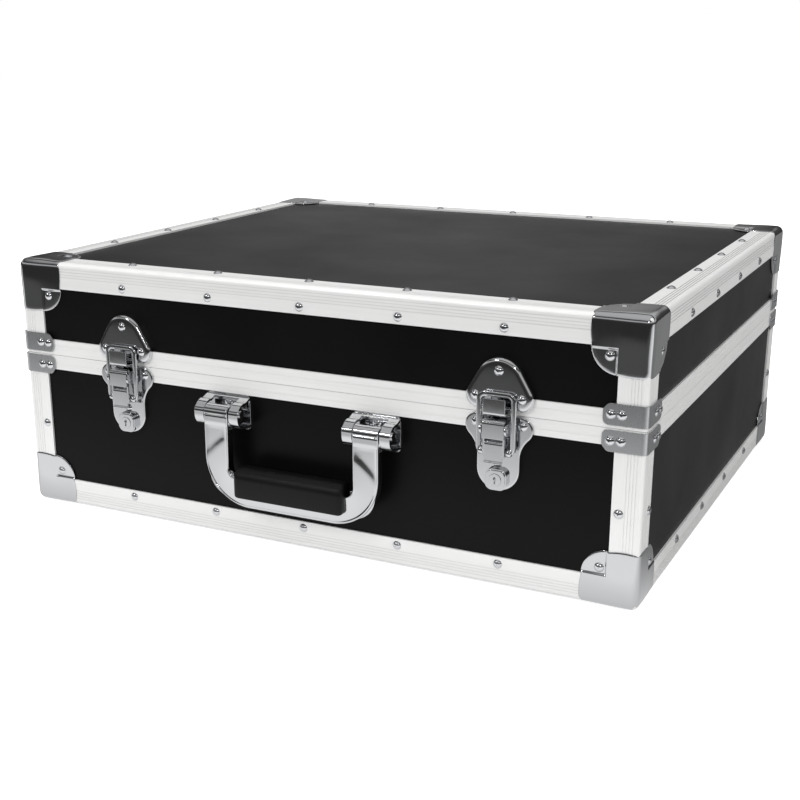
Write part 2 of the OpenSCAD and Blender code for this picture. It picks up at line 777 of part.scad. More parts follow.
module handle_pins() color("white") at_handle() for (side = [-1, 1])
    translate([side * handle_x, 0, 0]) {
        width = arm_w + 2 * arm_gap + 2 * ear_w;
        side_view(width) translate([pin_out, 0]) circle(d = pin_d);
        for (s = [-1, 1]) translate([s * (width / 2 + 0.5), 0, 0])
            side_view(1) translate([pin_out, 0]) circle(d = pin_d + 2);
    }

// Front view of a U that is open at the top and rounded at its lower corners
module u_shape(half, top, bottom, r) {
    polygon(concat(
        [[half, top], [-half, top]],
        arc([-(half - r), bottom + r, r], 180, 90, 16),
        arc([half - r, bottom + r, r], 270, 90, 16)));
}

module handle_bail() color("gainsboro") at_handle() {
    back = bail_out - bail_deep;
    difference() {
        union() {
            face(bail_out - bail_t, bail_out) difference() {
                u_shape(bail_half, 0, -bail_drop, bail_r);
                u_shape(arm_in, 10, core_top, 8);
            }
            // turned-back flanges, outside and inside
            face(back, bail_out - bail_t + eps) difference() {
                u_shape(bail_half, -9, -bail_drop, bail_r);
                u_shape(bail_half - bail_t, 10, -bail_drop + bail_t, bail_r - bail_t);
            }
            face(back, bail_out - bail_t + eps) difference() {
                u_shape(arm_in + bail_t, -9, core_top - bail_t, 8 + bail_t);
                u_shape(arm_in, 10, core_top, 8);
                translate([-grip_len / 2 - 1, -bail_drop]) square([grip_len + 2, 60]);
            }
            // rolled knuckles
            for (side = [-1, 1]) translate([side * handle_x, 0, 0]) side_view(arm_w)
                translate([pin_out, 0]) circle(r = bail_out - pin_out);
        }
        for (side = [-1, 1]) translate([side * handle_x, 0, 0])
            side_view(arm_w + 2) translate([pin_out, 0]) circle(d = pin_d + 2 * pin_gap);
    }
}

module handle_grip() color("#202020") at_handle() {
    low = -bail_drop + grip_lift;
    high = low + grip_h;
    top_r = 9;
    side_view(grip_len) difference() {
        wrapped([
            [grip_out - 1.5, low + 1.5, 1.5],
            [grip_out - top_r, high - top_r, top_r],
            [grip_out - grip_deep + 6, high - 6, 6],
            [grip_out - grip_deep + 3, low + 3, 3]]);
        translate([bail_out - bail_t - 0.1, low - 1])
            square([bail_t + 0.2, core_top - low + 1.2]);
    }
}

// ---------- latches ----------

lever_pin = [10, -8.5];              // [out of the aluminium, above the seam]
lever_top = -1.8;
lever_low = lever_top - lever_len;
lever_step = -15;                    // lower edge of the lever's upper part
lever_bend = 3;                      // radius of its bends
tab_top = lever_step - 1.6;          // top of its lower part
ear_x = hook_w / 2 + 0.35;           // inside face of the plate's ears
lock_z = -46.3;                      // middle of the lock
lock_h = 15.4;
lock_seat = plate_out + 1.4;         // bottom of the cylinder's bore

// The loop lies in front of the keeper's rivets, with its bar on the hook's shelf
rivet_beside = head_height(-keeper_rivets[1].x - loop_w / 2);
loop_back = keeper_out + rivet_beside + loop_back_gap;
loop_out = loop_back + loop_t;
loop_top = hook_top + loop_gap + loop_bar;
loop_pin = [loop_back + loop_t / 2, -25.2];
loop_pin_d = 3.2;
loop_boss_r = 3;
loop_low = loop_pin.y - loop_boss_r;
loop_r = 6.5;                        // outside radius of its corners

keeper_discs = [[0, keeper_top_z, keeper_r], [-lobe_x, lobe_z, lobe_r], [lobe_x, lobe_z, lobe_r]];

// A pressed dome over the discs, with a round shoulder
module dish(discs, low, high, slope) {
    shoulder = low + (high - low) * 0.55;
    rotate([90, 0, 0]) hull() for (d = discs) {
        translate([d.x, d.y, low]) cylinder(r1 = d.z, r2 = d.z - slope * 0.3, h = shoulder - low, $fn = 48);
        translate([d.x, d.y, shoulder]) cylinder(r1 = d.z - slope * 0.3, r2 = d.z - slope, h = high - shoulder, $fn = 48);
    }
}

// Side view of a strip that comes out level from [back, top] and turns down to [front, low]
module bent_strip(back, front, top, low, r, t) {
    polygon(concat(
        [[front, low]], arc([front - r, top - r, r], 0, 90, 8),
        [[back, top], [back, top - t]], arc([front - r, top - r, r - t], 90, -90, 8),
        [[front - t, low]]));
}

module keeper(side) color("gainsboro") at_latch(side) {
    inner = [for (d = keeper_discs) [d.x, d.y, d.z - sheet_t]];
    reach = 2 * (lobe_x + lobe_r) + 2;
    rim_top = seam_gap / 2 + rim_lid_h + 0.1;
    bend_r = 2.5;
    foot_z = 0.9;
    difference() {
        dish(keeper_discs, -leg_t, keeper_out, keeper_slope);
        dish(inner, -leg_t - eps, keeper_out - sheet_t, keeper_slope);
        translate([-reach / 2, 0, rim_top - reach]) cube([reach, leg_t + 1, reach]);
        for (p = keeper_rivets) translate([p.x, 0, p.y]) rotate([90, 0, 0])
            cylinder(r = rivet_hole_r, h = keeper_out + 1);
    }
    // hook: out along the seam and up in front of the loop's bar
    side_view(hook_w) {
        translate([0, foot_z]) square([sheet_t, 6]);
        translate([0, foot_z]) square([hook_out - bend_r, sheet_t]);
        translate([hook_out - sheet_t, foot_z + bend_r]) square([sheet_t, hook_top - foot_z - bend_r]);
        intersection() {
            translate([hook_out - bend_r, foot_z]) square(bend_r);
            translate([hook_out - bend_r, foot_z + bend_r]) difference() {
                circle(r = bend_r);
                circle(r = bend_r - sheet_t);
            }
        }
    }
}

// Front view of the latch plate: two wings and a round stem, joined by hollow waists
module plate_outline(inset) {
    waist_x = stem_r + waist_r;
    waist_z = wing_z - sqrt(pow(waist_r + wing_r, 2) - pow(waist_x - wing_x, 2));
    for (s = [-1, 1]) translate([s * wing_x, wing_z]) circle(r = wing_r - inset);
    translate([-wing_x, wing_z - wing_r + inset]) square([2 * wing_x, 2 * (wing_r - inset)]);
    translate([-stem_r + inset, stem_z]) square([2 * (stem_r - inset), wing_z - stem_z]);
    translate([0, stem_z]) circle(r = stem_r - inset);
    for (s = [0, 1]) mirror([s, 0]) difference() {
        polygon([[0, wing_z], [wing_x, wing_z], [waist_x, waist_z], [0, waist_z]]);
        translate([waist_x, waist_z]) circle(r = waist_r + inset);
    }
}

module latch_plate(side) color("gainsboro") at_latch(side) {
    rim_low = -seam_gap / 2 - rim_base_h - 0.1;
    reach = 2 * (wing_x + wing_r) + 2;
    difference() {
        union() {
            face(-leg_t, plate_out - 0.8) plate_outline(0);
            face(plate_out - 0.8 - eps, plate_out) plate_outline(0.8);
        }
        face(-leg_t - 1, plate_out - sheet_t) plate_outline(sheet_t);
        translate([-reach / 2, 0, rim_low]) cube([reach, leg_t + 1, reach]);
        for (p = plate_rivets) translate([p.x, 0, p.y]) rotate([90, 0, 0])
            cylinder(r = rivet_hole_r, h = plate_out + 1);
    }
    // ears that hold the lever's pin
    for (s = [-1, 1]) translate([s * (ear_x + 0.8), 0, 0]) side_view(1.6) difference() {
        union() {
            translate(lever_pin) circle(r = 4);
            polygon([
                [plate_out - 0.6, lever_pin.y - 6], [lever_pin.x, lever_pin.y - 4],
                [lever_pin.x, lever_pin.y + 4], [plate_out - 0.6, lever_pin.y + 6]]);
        }
        translate(lever_pin) circle(d = lever_pin_d + 2 * latch_pin_gap);
    }
}

module latch_lever_pin(side) color("white") at_latch(side)
    side_view(2 * ear_x + 3.8) translate(lever_pin) circle(d = lever_pin_d);

// Lever: two side walls, with an upper plate and a narrower lower one bent between them
module latch_lever(side) color("gainsboro") at_latch(side) {
    tab_w = hook_w - 2 * sheet_t;
    tab_front = lever_out - lever_set;
    wall_r = loop_pin_d / 2 + sheet_t + 0.3;
    difference() {
        side_view(hook_w) polygon(concat(
            [[lever_out, lever_step]],
            arc([lever_out - lever_bend, lever_top - lever_bend, lever_bend], 0, 90, 8),
            [[8, lever_top], [6, -4.5], [5.6, -9], [6.5, -14], [loop_pin.x - wall_r, loop_pin.y + 4]],
            arc([loop_pin.x, loop_pin.y, wall_r], 180, 90, 8),
            [[tab_front, loop_pin.y - wall_r], [tab_front, lever_step]]));
        side_view(tab_w) difference() {
            polygon([
                [lever_out + 1, lever_step], [lever_out - sheet_t, lever_step],
                [lever_out - sheet_t, lever_top - lever_bend], [lever_out - lever_bend, lever_top - sheet_t],
                [0, lever_top - sheet_t], [0, lever_low], [lever_out + 1, lever_low]]);
            bent_strip(lever_pin.x - 3, tab_front, tab_top, lever_low - 1, lever_bend, sheet_t);
        }
        side_view(hook_w + 2) {
            translate(lever_pin) circle(d = lever_pin_d + 2 * latch_pin_gap);
            translate(loop_pin) circle(d = loop_pin_d + 2 * latch_pin_gap);
        }
    }
    // the lower plate's free end, with a lip for the finger
    side_view(tab_w) polygon([
        [tab_front - sheet_t, loop_pin.y], [tab_front - sheet_t, lever_low],
        [tab_front + 1.2, lever_low], [tab_front + 1.2, lever_low + 0.8],
        [tab_front, lever_low + 2], [tab_front, loop_pin.y]]);
}

// Loop: a flat ring, open at its lower end, where two stub pins turn in the lever's walls
module latch_loop(side) color("gainsboro") at_latch(side) {
    half = loop_w / 2;
    difference() {
        union() {
            face(loop_back, loop_out) difference() {
                polygon(concat(
                    arc([half - loop_r, loop_top - loop_r, loop_r], 0, 90, 8),
                    arc([loop_r - half, loop_top - loop_r, loop_r], 90, 90, 8),
                    arc([loop_r - half, loop_low + loop_r, loop_r], 180, 90, 8),
                    arc([half - loop_r, loop_low + loop_r, loop_r], 270, 90, 8)));
                polygon(concat(
                    arc([half - loop_r, loop_top - loop_r, loop_r - loop_bar], 0, 90, 8),
                    arc([loop_r - half, loop_top - loop_r, loop_r - loop_bar], 90, 90, 8),
                    arc([loop_r - half, loop_low + loop_r, loop_r - loop_bar], 180, 90, 8),
                    arc([half - loop_r, loop_low + loop_r, loop_r - loop_bar], 270, 90, 8)));
            }
            for (s = [-1, 1]) translate([s * (ear_x + half - 3) / 2, 0, 0])
                side_view(half - 3 - ear_x) translate(loop_pin) circle(r = loop_boss_r);
        }
        face(0, hook_out + 10) translate([-ear_x, loop_low - 1]) square([2 * ear_x, 2 * loop_r]);
    }
    for (s = [-1, 1]) translate([s * (ear_x - 0.5), 0, 0])
        side_view(3.8) translate(loop_pin) circle(d = loop_pin_d);
}

module lock_body(side) color("gainsboro") at_latch(side) difference() {
    union() {
        face(plate_out, lock_out - 1) translate([0, lock_z]) rounded_rect(lock_w, lock_h, 5);
        face(lock_out - 1 - eps, lock_out) translate([0, lock_z]) rounded_rect(lock_w - 2, lock_h - 2, 4);
    }
    face(lock_seat, lock_out + 1) translate([0, lock_z]) circle(d = lock_d + 2 * latch_pin_gap);
}

module lock_cylinder(side) color("gainsboro") at_latch(side) difference() {
    face(lock_seat + 0.3, lock_out + 0.4) translate([0, lock_z]) circle(d = lock_d);
    face(lock_out - 1.4, lock_out + 1) translate([0, lock_z]) {
        square([1.4, 5.6], center = true);
        translate([0, 1.2]) circle(r = 1.3);
    }
}

// ---------- hinges ----------

hinge_axis = knuckle_r + knuckle_gap;  // distance of the axis behind the aluminium
knuckle_n = 5;
knuckle_len = hinge_len / knuckle_n;

// A leaf: part is 0 for the base's and 1 for the lid's
module hinge_leaf(side, part) color("silver") at_hinge(side) mirror([0, 0, part]) {
    rim_edge = seam_gap / 2 + (part == 0 ? rim_base_h : rim_lid_h) + 0.1;
    difference() {
        intersection() {
            side_view(hinge_len) {
                translate([0, -rim_edge - 1.6]) square([1.6, rim_edge + 1.6 - 0.3]);
                translate([-leg_t, -leaf_h]) square([leg_t, leaf_h - rim_edge]);
                translate([-leg_t, -rim_edge - 1.6]) square([leg_t + 1.6, 1.6]);
                translate([0, -knuckle_r]) square([hinge_axis, knuckle_r - 0.3]);
                translate([hinge_axis, 0]) circle(r = knuckle_r);
            }
            face(-5, 10) translate([0, -leaf_h / 2 + 5]) rounded_rect(hinge_len, leaf_h + 10, 4);
        }
        // room for the other leaf's knuckles
        for (k = [0:knuckle_n - 1]) if (k % 2 != part)
            translate([(k + 0.5) * knuckle_len - hinge_len / 2, 0, 0])
                side_view(knuckle_len + 0.5) translate([hinge_axis, 0]) {
                    circle(r = knuckle_r + 0.35);
                    translate([-hinge_axis - 1, 0]) square([2 * hinge_axis + 4, knuckle_r + 1]);
                }
        side_view(hinge_len + 2) translate([hinge_axis, 0]) circle(d = hinge_pin_d + 2 * pin_gap);
        for (a = leaf_rivets) translate([a, leg_t + 1, -leaf_rivet_z]) rotate([90, 0, 0])
            cylinder(r = rivet_hole_r, h = 2 * leg_t + 2);
    }
}

module hinge_pin(side) color("white") at_hinge(side) {
    side_view(hinge_len) translate([hinge_axis, 0]) circle(d = hinge_pin_d);
    for (s = [-1, 1]) translate([s * (hinge_len / 2 + 0.5), 0, 0])
        side_view(1) translate([hinge_axis, 0]) circle(d = hinge_pin_d + 1.6);
}

// ---------- nodes ----------

base_bottom_panel();
base_wall(FRONT);  // base_front_panel
base_wall(RIGHT);  // base_right_panel
base_wall(BACK);  // base_back_panel
base_wall(LEFT);  // base_left_panel
base_edge(FRONT);  // base_edge_front
base_edge(RIGHT);  // base_edge_right
base_edge(BACK);  // base_edge_back
base_edge(LEFT);  // base_edge_left
base_uprights();  // base_upright_edges
base_rim_frame();
base_corner_caps();
base_rim_braces();
base_rivets();
base_floor_pad();
base_wall_lining();
divider();
divider_rails();
base_feet();
handle_bracket(-1);  // handle_bracket_left
handle_bracket(1);  // handle_bracket_right
handle_pins();
handle_bail();
handle_grip();
hinge_leaf(-1, 0);  // hinge_left_base_leaf
hinge_leaf(1, 0);  // hinge_right_base_leaf
hinge_leaf(-1, 1);  // hinge_left_lid_leaf
hinge_leaf(1, 1);  // hinge_right_lid_leaf
hinge_pin(-1);  // hinge_left_pin
hinge_pin(1);  // hinge_right_pin
latch_plate(-1);  // latch_left_plate
latch_plate(1);  // latch_right_plate
latch_lever_pin(-1);  // latch_left_lever_pin
latch_lever_pin(1);  // latch_right_lever_pin
latch_lever(-1);  // latch_left_lever
latch_lever(1);  // latch_right_lever
latch_loop(-1);  // latch_left_loop
latch_loop(1);  // latch_right_loop
lock_body(-1);  // latch_left_lock_body
lock_body(1);  // latch_right_lock_body
lock_cylinder(-1);  // latch_left_lock_cylinder
lock_cylinder(1);  // latch_right_lock_cylinder
keeper(-1);  // latch_left_keeper
keeper(1);  // latch_right_keeper
lid_top_panel();
lid_wall(FRONT);  // lid_front_panel
lid_wall(RIGHT);  // lid_right_panel
lid_wall(BACK);  // lid_back_panel
lid_wall(LEFT);  // lid_left_panel
lid_edge(FRONT);  // lid_edge_front
lid_edge(RIGHT);  // lid_edge_right
lid_edge(BACK);  // lid_edge_back
lid_edge(LEFT);  // lid_edge_left
lid_uprights();  // lid_upright_edges
lid_rim_frame();
lid_corner_caps();
lid_rim_braces();
lid_rivets();
lid_pad();
lid_feet();
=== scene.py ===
"""Looks of the record carrying case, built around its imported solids.

Every length is in metres in the case's own frame: +Z up, the latches and the handle
face -Y. Sizes written as ``n * MM`` are millimetres.
"""
import json
import logging
import math
from dataclasses import dataclass, field
from enum import Enum
from typing import Callable, Sequence

import bmesh
import bpy
import numpy as np
from mathutils import Matrix, Vector


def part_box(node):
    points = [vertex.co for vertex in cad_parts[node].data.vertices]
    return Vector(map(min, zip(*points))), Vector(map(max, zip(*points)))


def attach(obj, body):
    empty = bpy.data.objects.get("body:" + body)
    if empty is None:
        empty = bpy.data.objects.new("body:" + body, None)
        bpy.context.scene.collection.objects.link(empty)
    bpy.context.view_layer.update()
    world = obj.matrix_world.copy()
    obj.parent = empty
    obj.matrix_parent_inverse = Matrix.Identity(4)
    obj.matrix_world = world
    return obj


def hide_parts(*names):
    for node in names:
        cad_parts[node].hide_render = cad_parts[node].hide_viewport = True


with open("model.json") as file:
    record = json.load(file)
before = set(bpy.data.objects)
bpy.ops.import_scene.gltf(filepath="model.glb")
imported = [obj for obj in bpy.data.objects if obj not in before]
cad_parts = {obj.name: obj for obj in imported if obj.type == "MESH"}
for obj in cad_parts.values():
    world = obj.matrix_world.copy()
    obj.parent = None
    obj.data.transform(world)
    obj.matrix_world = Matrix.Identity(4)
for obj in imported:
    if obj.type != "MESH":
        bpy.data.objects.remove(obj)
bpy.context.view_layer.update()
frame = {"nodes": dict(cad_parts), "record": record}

log = logging.getLogger("record_case")
MM = 0.001

# ---------------------------------------------------------------------------
# Sizes shared by the pieces; they repeat the part's source
# ---------------------------------------------------------------------------
CASE_W = 520 * MM
CASE_D = 446 * MM
CAP_T = 1.4 * MM
LEG_T = 1.6 * MM
PANEL_T = 5 * MM
FOAM_T = 3 * MM
BASE_H = 127.3 * MM
LID_H = 76.1 * MM
MID_Y = 8.3 * MM
SEAM_Z = CAP_T + BASE_H
LID_TOP = SEAM_Z + LID_H
FRONT_Y = MID_Y - CASE_D / 2
LATCH_X = CASE_W / 2 - 102.5 * MM


# ---------------------------------------------------------------------------
# Node helpers
# ---------------------------------------------------------------------------
def linear(hex_colour: str) -> tuple[float, float, float, float]:
    """Turns an sRGB hex colour into linear RGBA.

    Args:
        hex_colour: six hex digits with a leading hash.

    Returns:
        Linear red, green, blue and an alpha of one.
    """
    raw = [int(hex_colour[i:i + 2], 16) / 255 for i in (1, 3, 5)]
    rgb = [c / 12.92 if c <= 0.04045 else ((c + 0.055) / 1.055) ** 2.4 for c in raw]
    return (*rgb, 1.0)


def add(tree: bpy.types.NodeTree, kind: str, links: dict | None = None, stops: Sequence[tuple] = (),
        **settings) -> bpy.types.Node:
    """Adds a node with its settings, input values, links and a ramp's stops.

    Args:
        tree: node tree that gets the node.
        kind: the node's type name without the ShaderNode prefix.
        links: input name or number to a value, or to an output socket to link.
        stops: on a colour ramp, each stop's place with its grey value or its linear red, green and blue.
        **settings: attributes of the node.

    Returns:
        The new node.
    """
    node = tree.nodes.new("ShaderNode" + kind)
    for name, value in settings.items():
        setattr(node, name, value)
    for key, value in (links or {}).items():
        if isinstance(value, bpy.types.NodeSocket):
            tree.links.new(value, node.inputs[key])
        else:
            node.inputs[key].default_value = value
    if stops:
        points = node.color_ramp.elements
        while len(points) < len(stops):
            points.new(0.5)
        for point, (place, colour) in zip(points, stops):
            point.position = place
            point.color = (*np.broadcast_to(colour, 3), 1.0)
    return node


def emptied(owner: bpy.types.Material | bpy.types.World) -> bpy.types.NodeTree:
    """Gives a material or a world an empty node tree.

    Args:
        owner: the material or the world.

    Returns:
        Its tree, without any node.
    """
    owner.use_nodes = True
    owner.node_tree.nodes.clear()
    return owner.node_tree


def surfaced(material: bpy.types.Material, inputs: dict) -> bpy.types.Material:
    """Gives a material its Principled shader, once its patterns are there.

    Args:
        material: a material with a node tree.
        inputs: the shader's input names to values or sockets.

    Returns:
        The same material.
    """
    shader = add(material.node_tree, "BsdfPrincipled", inputs)
    add(material.node_tree, "OutputMaterial", {"Surface": shader.outputs["BSDF"]})
    return material


def by_ray(tree: bpy.types.NodeTree, kind: str, other: bpy.types.NodeSocket, mirrored: bpy.types.NodeSocket,
           seen: bpy.types.NodeSocket) -> None:
    """Shows one shader to the camera, another in mirrors and a third to all other rays.

    Args:
        tree: node tree of the material or the world.
        kind: type name of its output node, without the ShaderNode prefix.
        other: shader for the light that falls on things.
        mirrored: shader for glossy rays.
        seen: shader for camera rays.
    """
    rays = add(tree, "LightPath")
    first = add(tree, "MixShader", {0: rays.outputs["Is Glossy Ray"], 1: other, 2: mirrored})
    last = add(tree, "MixShader", {0: rays.outputs["Is Camera Ray"], 1: first.outputs[0], 2: seen})
    add(tree, kind, {"Surface": last.outputs[0]})


def placed(tree: bpy.types.NodeTree, scale: Sequence[float]) -> bpy.types.NodeSocket:
    """Object coordinates stretched by a scale per axis.

    Args:
        tree: node tree that gets the nodes.
        scale: factor on each axis, in pattern units a metre.

    Returns:
        The scaled coordinate.
    """
    where = add(tree, "TexCoord")
    node = add(tree, "Mapping", {"Vector": where.outputs["Object"], "Scale": tuple(scale)})
    return node.outputs["Vector"]


# ---------------------------------------------------------------------------
# Finishes
# ---------------------------------------------------------------------------
class Grain(Enum):
    """Direction in which an extrusion was drawn.

    Each value holds the die lines' pattern units a metre and, on each axis, how strongly painted shade
    darkens the grooves, most on the faces whose ribs show most.
    Real die lines are finer than 0.2 mm; they are drawn about 1.1 mm apart, so that they show.
    """

    ALONG_X = ((7.0, 900.0, 900.0), (0.0, 0.4, 0.12))
    ALONG_Y = ((900.0, 7.0, 900.0), (0.6, 0.0, 0.4))
    ALONG_Z = ((900.0, 900.0, 7.0), (0.0, 0.0, 0.0))
    ROUND_RIM = ((7.0, 7.0, 900.0), (0.0, 0.0, 0.0))


@dataclass(frozen=True)
class SatinExtrusion:
    """Natural anodised aluminium extrusion: die lines along its length, broad soft shine, and painted shade
    in its grooves.
    """

    grain: Grain
    colour: str = "#f0f0ef"
    roughness: float = 0.44
    metallic: float = 0.45
    line_depth: float = 0.01 * MM
    groove_count: int = 4
    groove_first: float = 5.0 * MM
    groove_pitch: float = 2.2 * MM
    groove_fade: float = 0.2 * MM

    def grooves(self, tree: bpy.types.NodeTree) -> bpy.types.NodeSocket:
        """Painted shade in the drawn grooves, which the solids have: the colour is darkened inside them,
        and nowhere else.

        On each axis, a cosine of the distance from the case's outside face peaks in every groove. Only its
        part above a floor counts, and only over the width that the grooves take up.

        Args:
            tree: node tree that gets the nodes.

        Returns:
            The painted shade as a colour factor, 1 outside the grooves.
        """
        def vector(operation: str, *values) -> bpy.types.NodeSocket:
            """Adds one step of vector arithmetic.

            Args:
                operation: the step's name.
                *values: its inputs; a bare number counts for all three axes.

            Returns:
                The step's result.
            """
            values = [(v,) * 3 if isinstance(v, float) else v for v in values]
            node = add(tree, "VectorMath", dict(enumerate(values)), operation=operation)
            return node.outputs["Value" if operation == "DOT_PRODUCT" else "Vector"]

        where = add(tree, "TexCoord").outputs["Object"]
        place = vector("ABSOLUTE", vector("SUBTRACT", where, (0, MID_Y, (CAP_T + LID_TOP) / 2)))
        # how far in from the case's outside faces, in metres
        inward = vector("SUBTRACT", (CASE_W / 2, CASE_D / 2, (LID_TOP - CAP_T) / 2), place)
        turns, floor = 2 * math.pi / self.groove_pitch, 0.25
        wave = vector("COSINE", vector("MULTIPLY_ADD", inward, turns, -turns * self.groove_first))
        dip = vector("SUBTRACT", vector("MAXIMUM", wave, floor), floor)
        middle = self.groove_first + (self.groove_count - 1) / 2 * self.groove_pitch
        off = vector("ABSOLUTE", vector("SUBTRACT", inward, middle))
        inside = vector("SUBTRACT", self.groove_count / 2 * self.groove_pitch, off)
        inside = vector("MINIMUM", vector("MULTIPLY", inside, 1 / self.groove_fade), 1.0)
        dip = vector("MULTIPLY", dip, vector("MAXIMUM", inside, 0.0))
        # painted shade: each axis's weight darkens the colour inside the grooves, where shade falls
        painted_shade = vector("DOT_PRODUCT", dip, tuple(-k / (1 - floor) for k in self.grain.value[1]))
        return add(tree, "Math", {0: painted_shade, 1: 1.0}, operation="ADD").outputs["Value"]

    def material(self) -> bpy.types.Material:
        """Builds the finish with die lines, faint cloudy tone and painted shade in the grooves.

        Returns:
            The material.
        """
        material = bpy.data.materials.new(f"anodised_extrusion_{self.grain.name.lower()}")
        tree = emptied(material)
        lines = add(tree, "TexNoise", {"Vector": placed(tree, self.grain.value[0]), "Scale": 1.0,
                                       "Detail": 3.0, "Roughness": 0.6}).outputs["Fac"]
        # cloudy tone of hand-sized patches, about 60 mm across
        clouds = add(tree, "TexNoise", {"Vector": placed(tree, (16, 16, 16)), "Scale": 1.0, "Detail": 4.0})
        tones = [add(tree, "ValToRGB", {"Fac": fac}, [(0.3, 0.93), (0.7, 0.99)]).outputs["Color"]
                 for fac in (lines, clouds.outputs["Fac"])]
        tint = add(tree, "Mix", {0: 0.35, 6: tones[0], 7: tones[1]}, data_type="RGBA")
        # the aluminium's own colour, then the painted shade in the grooves
        for factor in (linear(self.colour), self.grooves(tree)):
            tint = add(tree, "Mix", {0: 1.0, 6: tint.outputs[2], 7: factor}, data_type="RGBA",
                       blend_type="MULTIPLY")
        rough = add(tree, "MapRange", {"Value": lines, "To Min": self.roughness - 0.06,
                                       "To Max": self.roughness + 0.10})
        bump = add(tree, "Bump", {"Height": lines, "Strength": 0.35, "Distance": self.line_depth})
        return surfaced(material, {"Metallic": self.metallic, "Base Color": tint.outputs[2],
                                   "Roughness": rough.outputs["Result"], "Normal": bump.outputs["Normal"]})


@dataclass(frozen=True)
class BrightPlate:
    """Nickel-chrome plated pressed steel: a mirror with slight waves and fine wiping marks."""

    name: str = "bright_plated_steel"
    colour: str = "#d3d4d6"
    roughness: float = 0.07
    wave: float = 0.05 * MM
    edge: float = 0.35 * MM

    def material(self) -> bpy.types.Material:
        """Builds the mirror finish with pressed waves, wiping marks and softened edges.

        Returns:
            The material.
        """
        material = bpy.data.materials.new(self.name)
        tree = emptied(material)
        # waves that pressing leaves in the sheet, about 9 mm from crest to crest
        waves = add(tree, "TexNoise", {"Vector": placed(tree, (110, 110, 110)), "Scale": 1.0,
                                       "Detail": 1.0})
        # wiping marks: 0.8 mm apart, drawn coarse enough to show
        marks = add(tree, "TexNoise", {"Vector": placed(tree, (1200, 1200, 160)), "Scale": 1.0,
                                       "Detail": 2.0})
        rough = add(tree, "MapRange", {"Value": marks.outputs["Fac"], "From Min": 0.35, "From Max": 0.8,
                                       "To Min": self.roughness, "To Max": self.roughness + 0.04})
        soft = add(tree, "Bevel", {"Radius": self.edge}, samples=4)
        bump = add(tree, "Bump", {"Height": waves.outputs["Fac"], "Strength": 0.5, "Distance": self.wave,
                                  "Normal": soft.outputs["Normal"]})
        return surfaced(material, {"Metallic": 1.0, "Base Color": linear(self.colour),
                                   "Roughness": rough.outputs["Result"], "Normal": bump.outputs["Normal"]})


@dataclass(frozen=True)
class PanelLaminate:
    """Black melamine laminate on plywood: low orange-peel texture, half gloss."""

    colour: str = "#080808"
    roughness: float = 0.34
    shine: float = 0.12
    pebble: float = 0.9 * MM
    pebble_depth: float = 0.05 * MM

    def material(self) -> bpy.types.Material:
        """Builds the laminate with its pebbled skin, cloudy tone and faint rub marks.

        Returns:
            The material.
        """
        material = bpy.data.materials.new("black_melamine_laminate")
        tree = emptied(material)
        pebbles = add(tree, "TexNoise", {"Vector": placed(tree, (1 / self.pebble,) * 3), "Scale": 1.0,
                                         "Detail": 2.0})
        # rub marks and clouds about 110 mm across
        clouds = add(tree, "TexNoise", {"Vector": placed(tree, (9, 9, 9)), "Scale": 1.0, "Detail": 5.0})
        low, high, dark = 0.3, 0.75, np.array(linear(self.colour)[:3])
        tone = add(tree, "ValToRGB", {"Fac": clouds.outputs["Fac"]},
                   [(low, dark * 0.86), (high, dark * 1.25)])
        rough = add(tree, "MapRange", {"Value": clouds.outputs["Fac"], "From Min": low, "From Max": high,
                                       "To Min": self.roughness - 0.03, "To Max": self.roughness + 0.07})
        bump = add(tree, "Bump", {"Height": pebbles.outputs["Fac"], "Strength": 0.25,
                                  "Distance": self.pebble_depth})
        return surfaced(material, {"Specular IOR Level": self.shine, "Base Color": tone.outputs["Color"],
                                   "Roughness": rough.outputs["Result"], "Normal": bump.outputs["Normal"]})


@dataclass(frozen=True)
class PlainFinish:
    """A dark or dull finish: an even colour broken by grit of a real size, with a matching bump."""

    name: str
    colour: str
    roughness: float
    grit: float
    depth: float
    metallic: float = 0.0
    contrast: float = 0.25
    sheen: float = 0.0
    shine: float = 0.5

    def material(self) -> bpy.types.Material:
        """Builds the finish: its bump follows the grit, tone and roughness also patches of 25 mm.

        Returns:
            The material.
        """
        material = bpy.data.materials.new(self.name)
        tree = emptied(material)
        grit = add(tree, "TexNoise", {"Vector": placed(tree, (1 / self.grit,) * 3), "Scale": 1.0,
                                      "Detail": 3.0, "Roughness": 0.6})
        patches = add(tree, "TexNoise", {"Vector": placed(tree, (40, 40, 40)), "Scale": 1.0,
                                         "Detail": 3.0})
        both = add(tree, "Mix", {0: 0.4, 6: grit.outputs["Fac"], 7: patches.outputs["Fac"]},
                   data_type="RGBA")
        base = np.array(linear(self.colour)[:3])
        tone = add(tree, "ValToRGB", {"Fac": both.outputs[2]},
                   [(0.35, base * (1 - self.contrast)), (0.65, base * (1 + self.contrast))])
        rough = add(tree, "MapRange", {"Value": both.outputs[2], "To Min": self.roughness - 0.06,
                                       "To Max": self.roughness + 0.06})
        bump = add(tree, "Bump", {"Height": grit.outputs["Fac"], "Strength": 0.6, "Distance": self.depth})
        return surfaced(material, {"Metallic": self.metallic, "Sheen Weight": self.sheen,
                                   "Specular IOR Level": self.shine, "Base Color": tone.outputs["Color"],
                                   "Roughness": rough.outputs["Result"], "Normal": bump.outputs["Normal"]})


# moulded ABS grip: fine spark-eroded skin, satin
GRIP_ABS = PlainFinish("moulded_abs_grip", "#0b0b0c", 0.38, 0.6 * MM, 0.03 * MM, shine=0.22)
# cut polyether foam: open cells of about 1 mm, no shine
FOAM = PlainFinish("cut_polyether_foam", "#2f3034", 0.95, 1.0 * MM, 0.5 * MM, contrast=0.5, sheen=0.3)
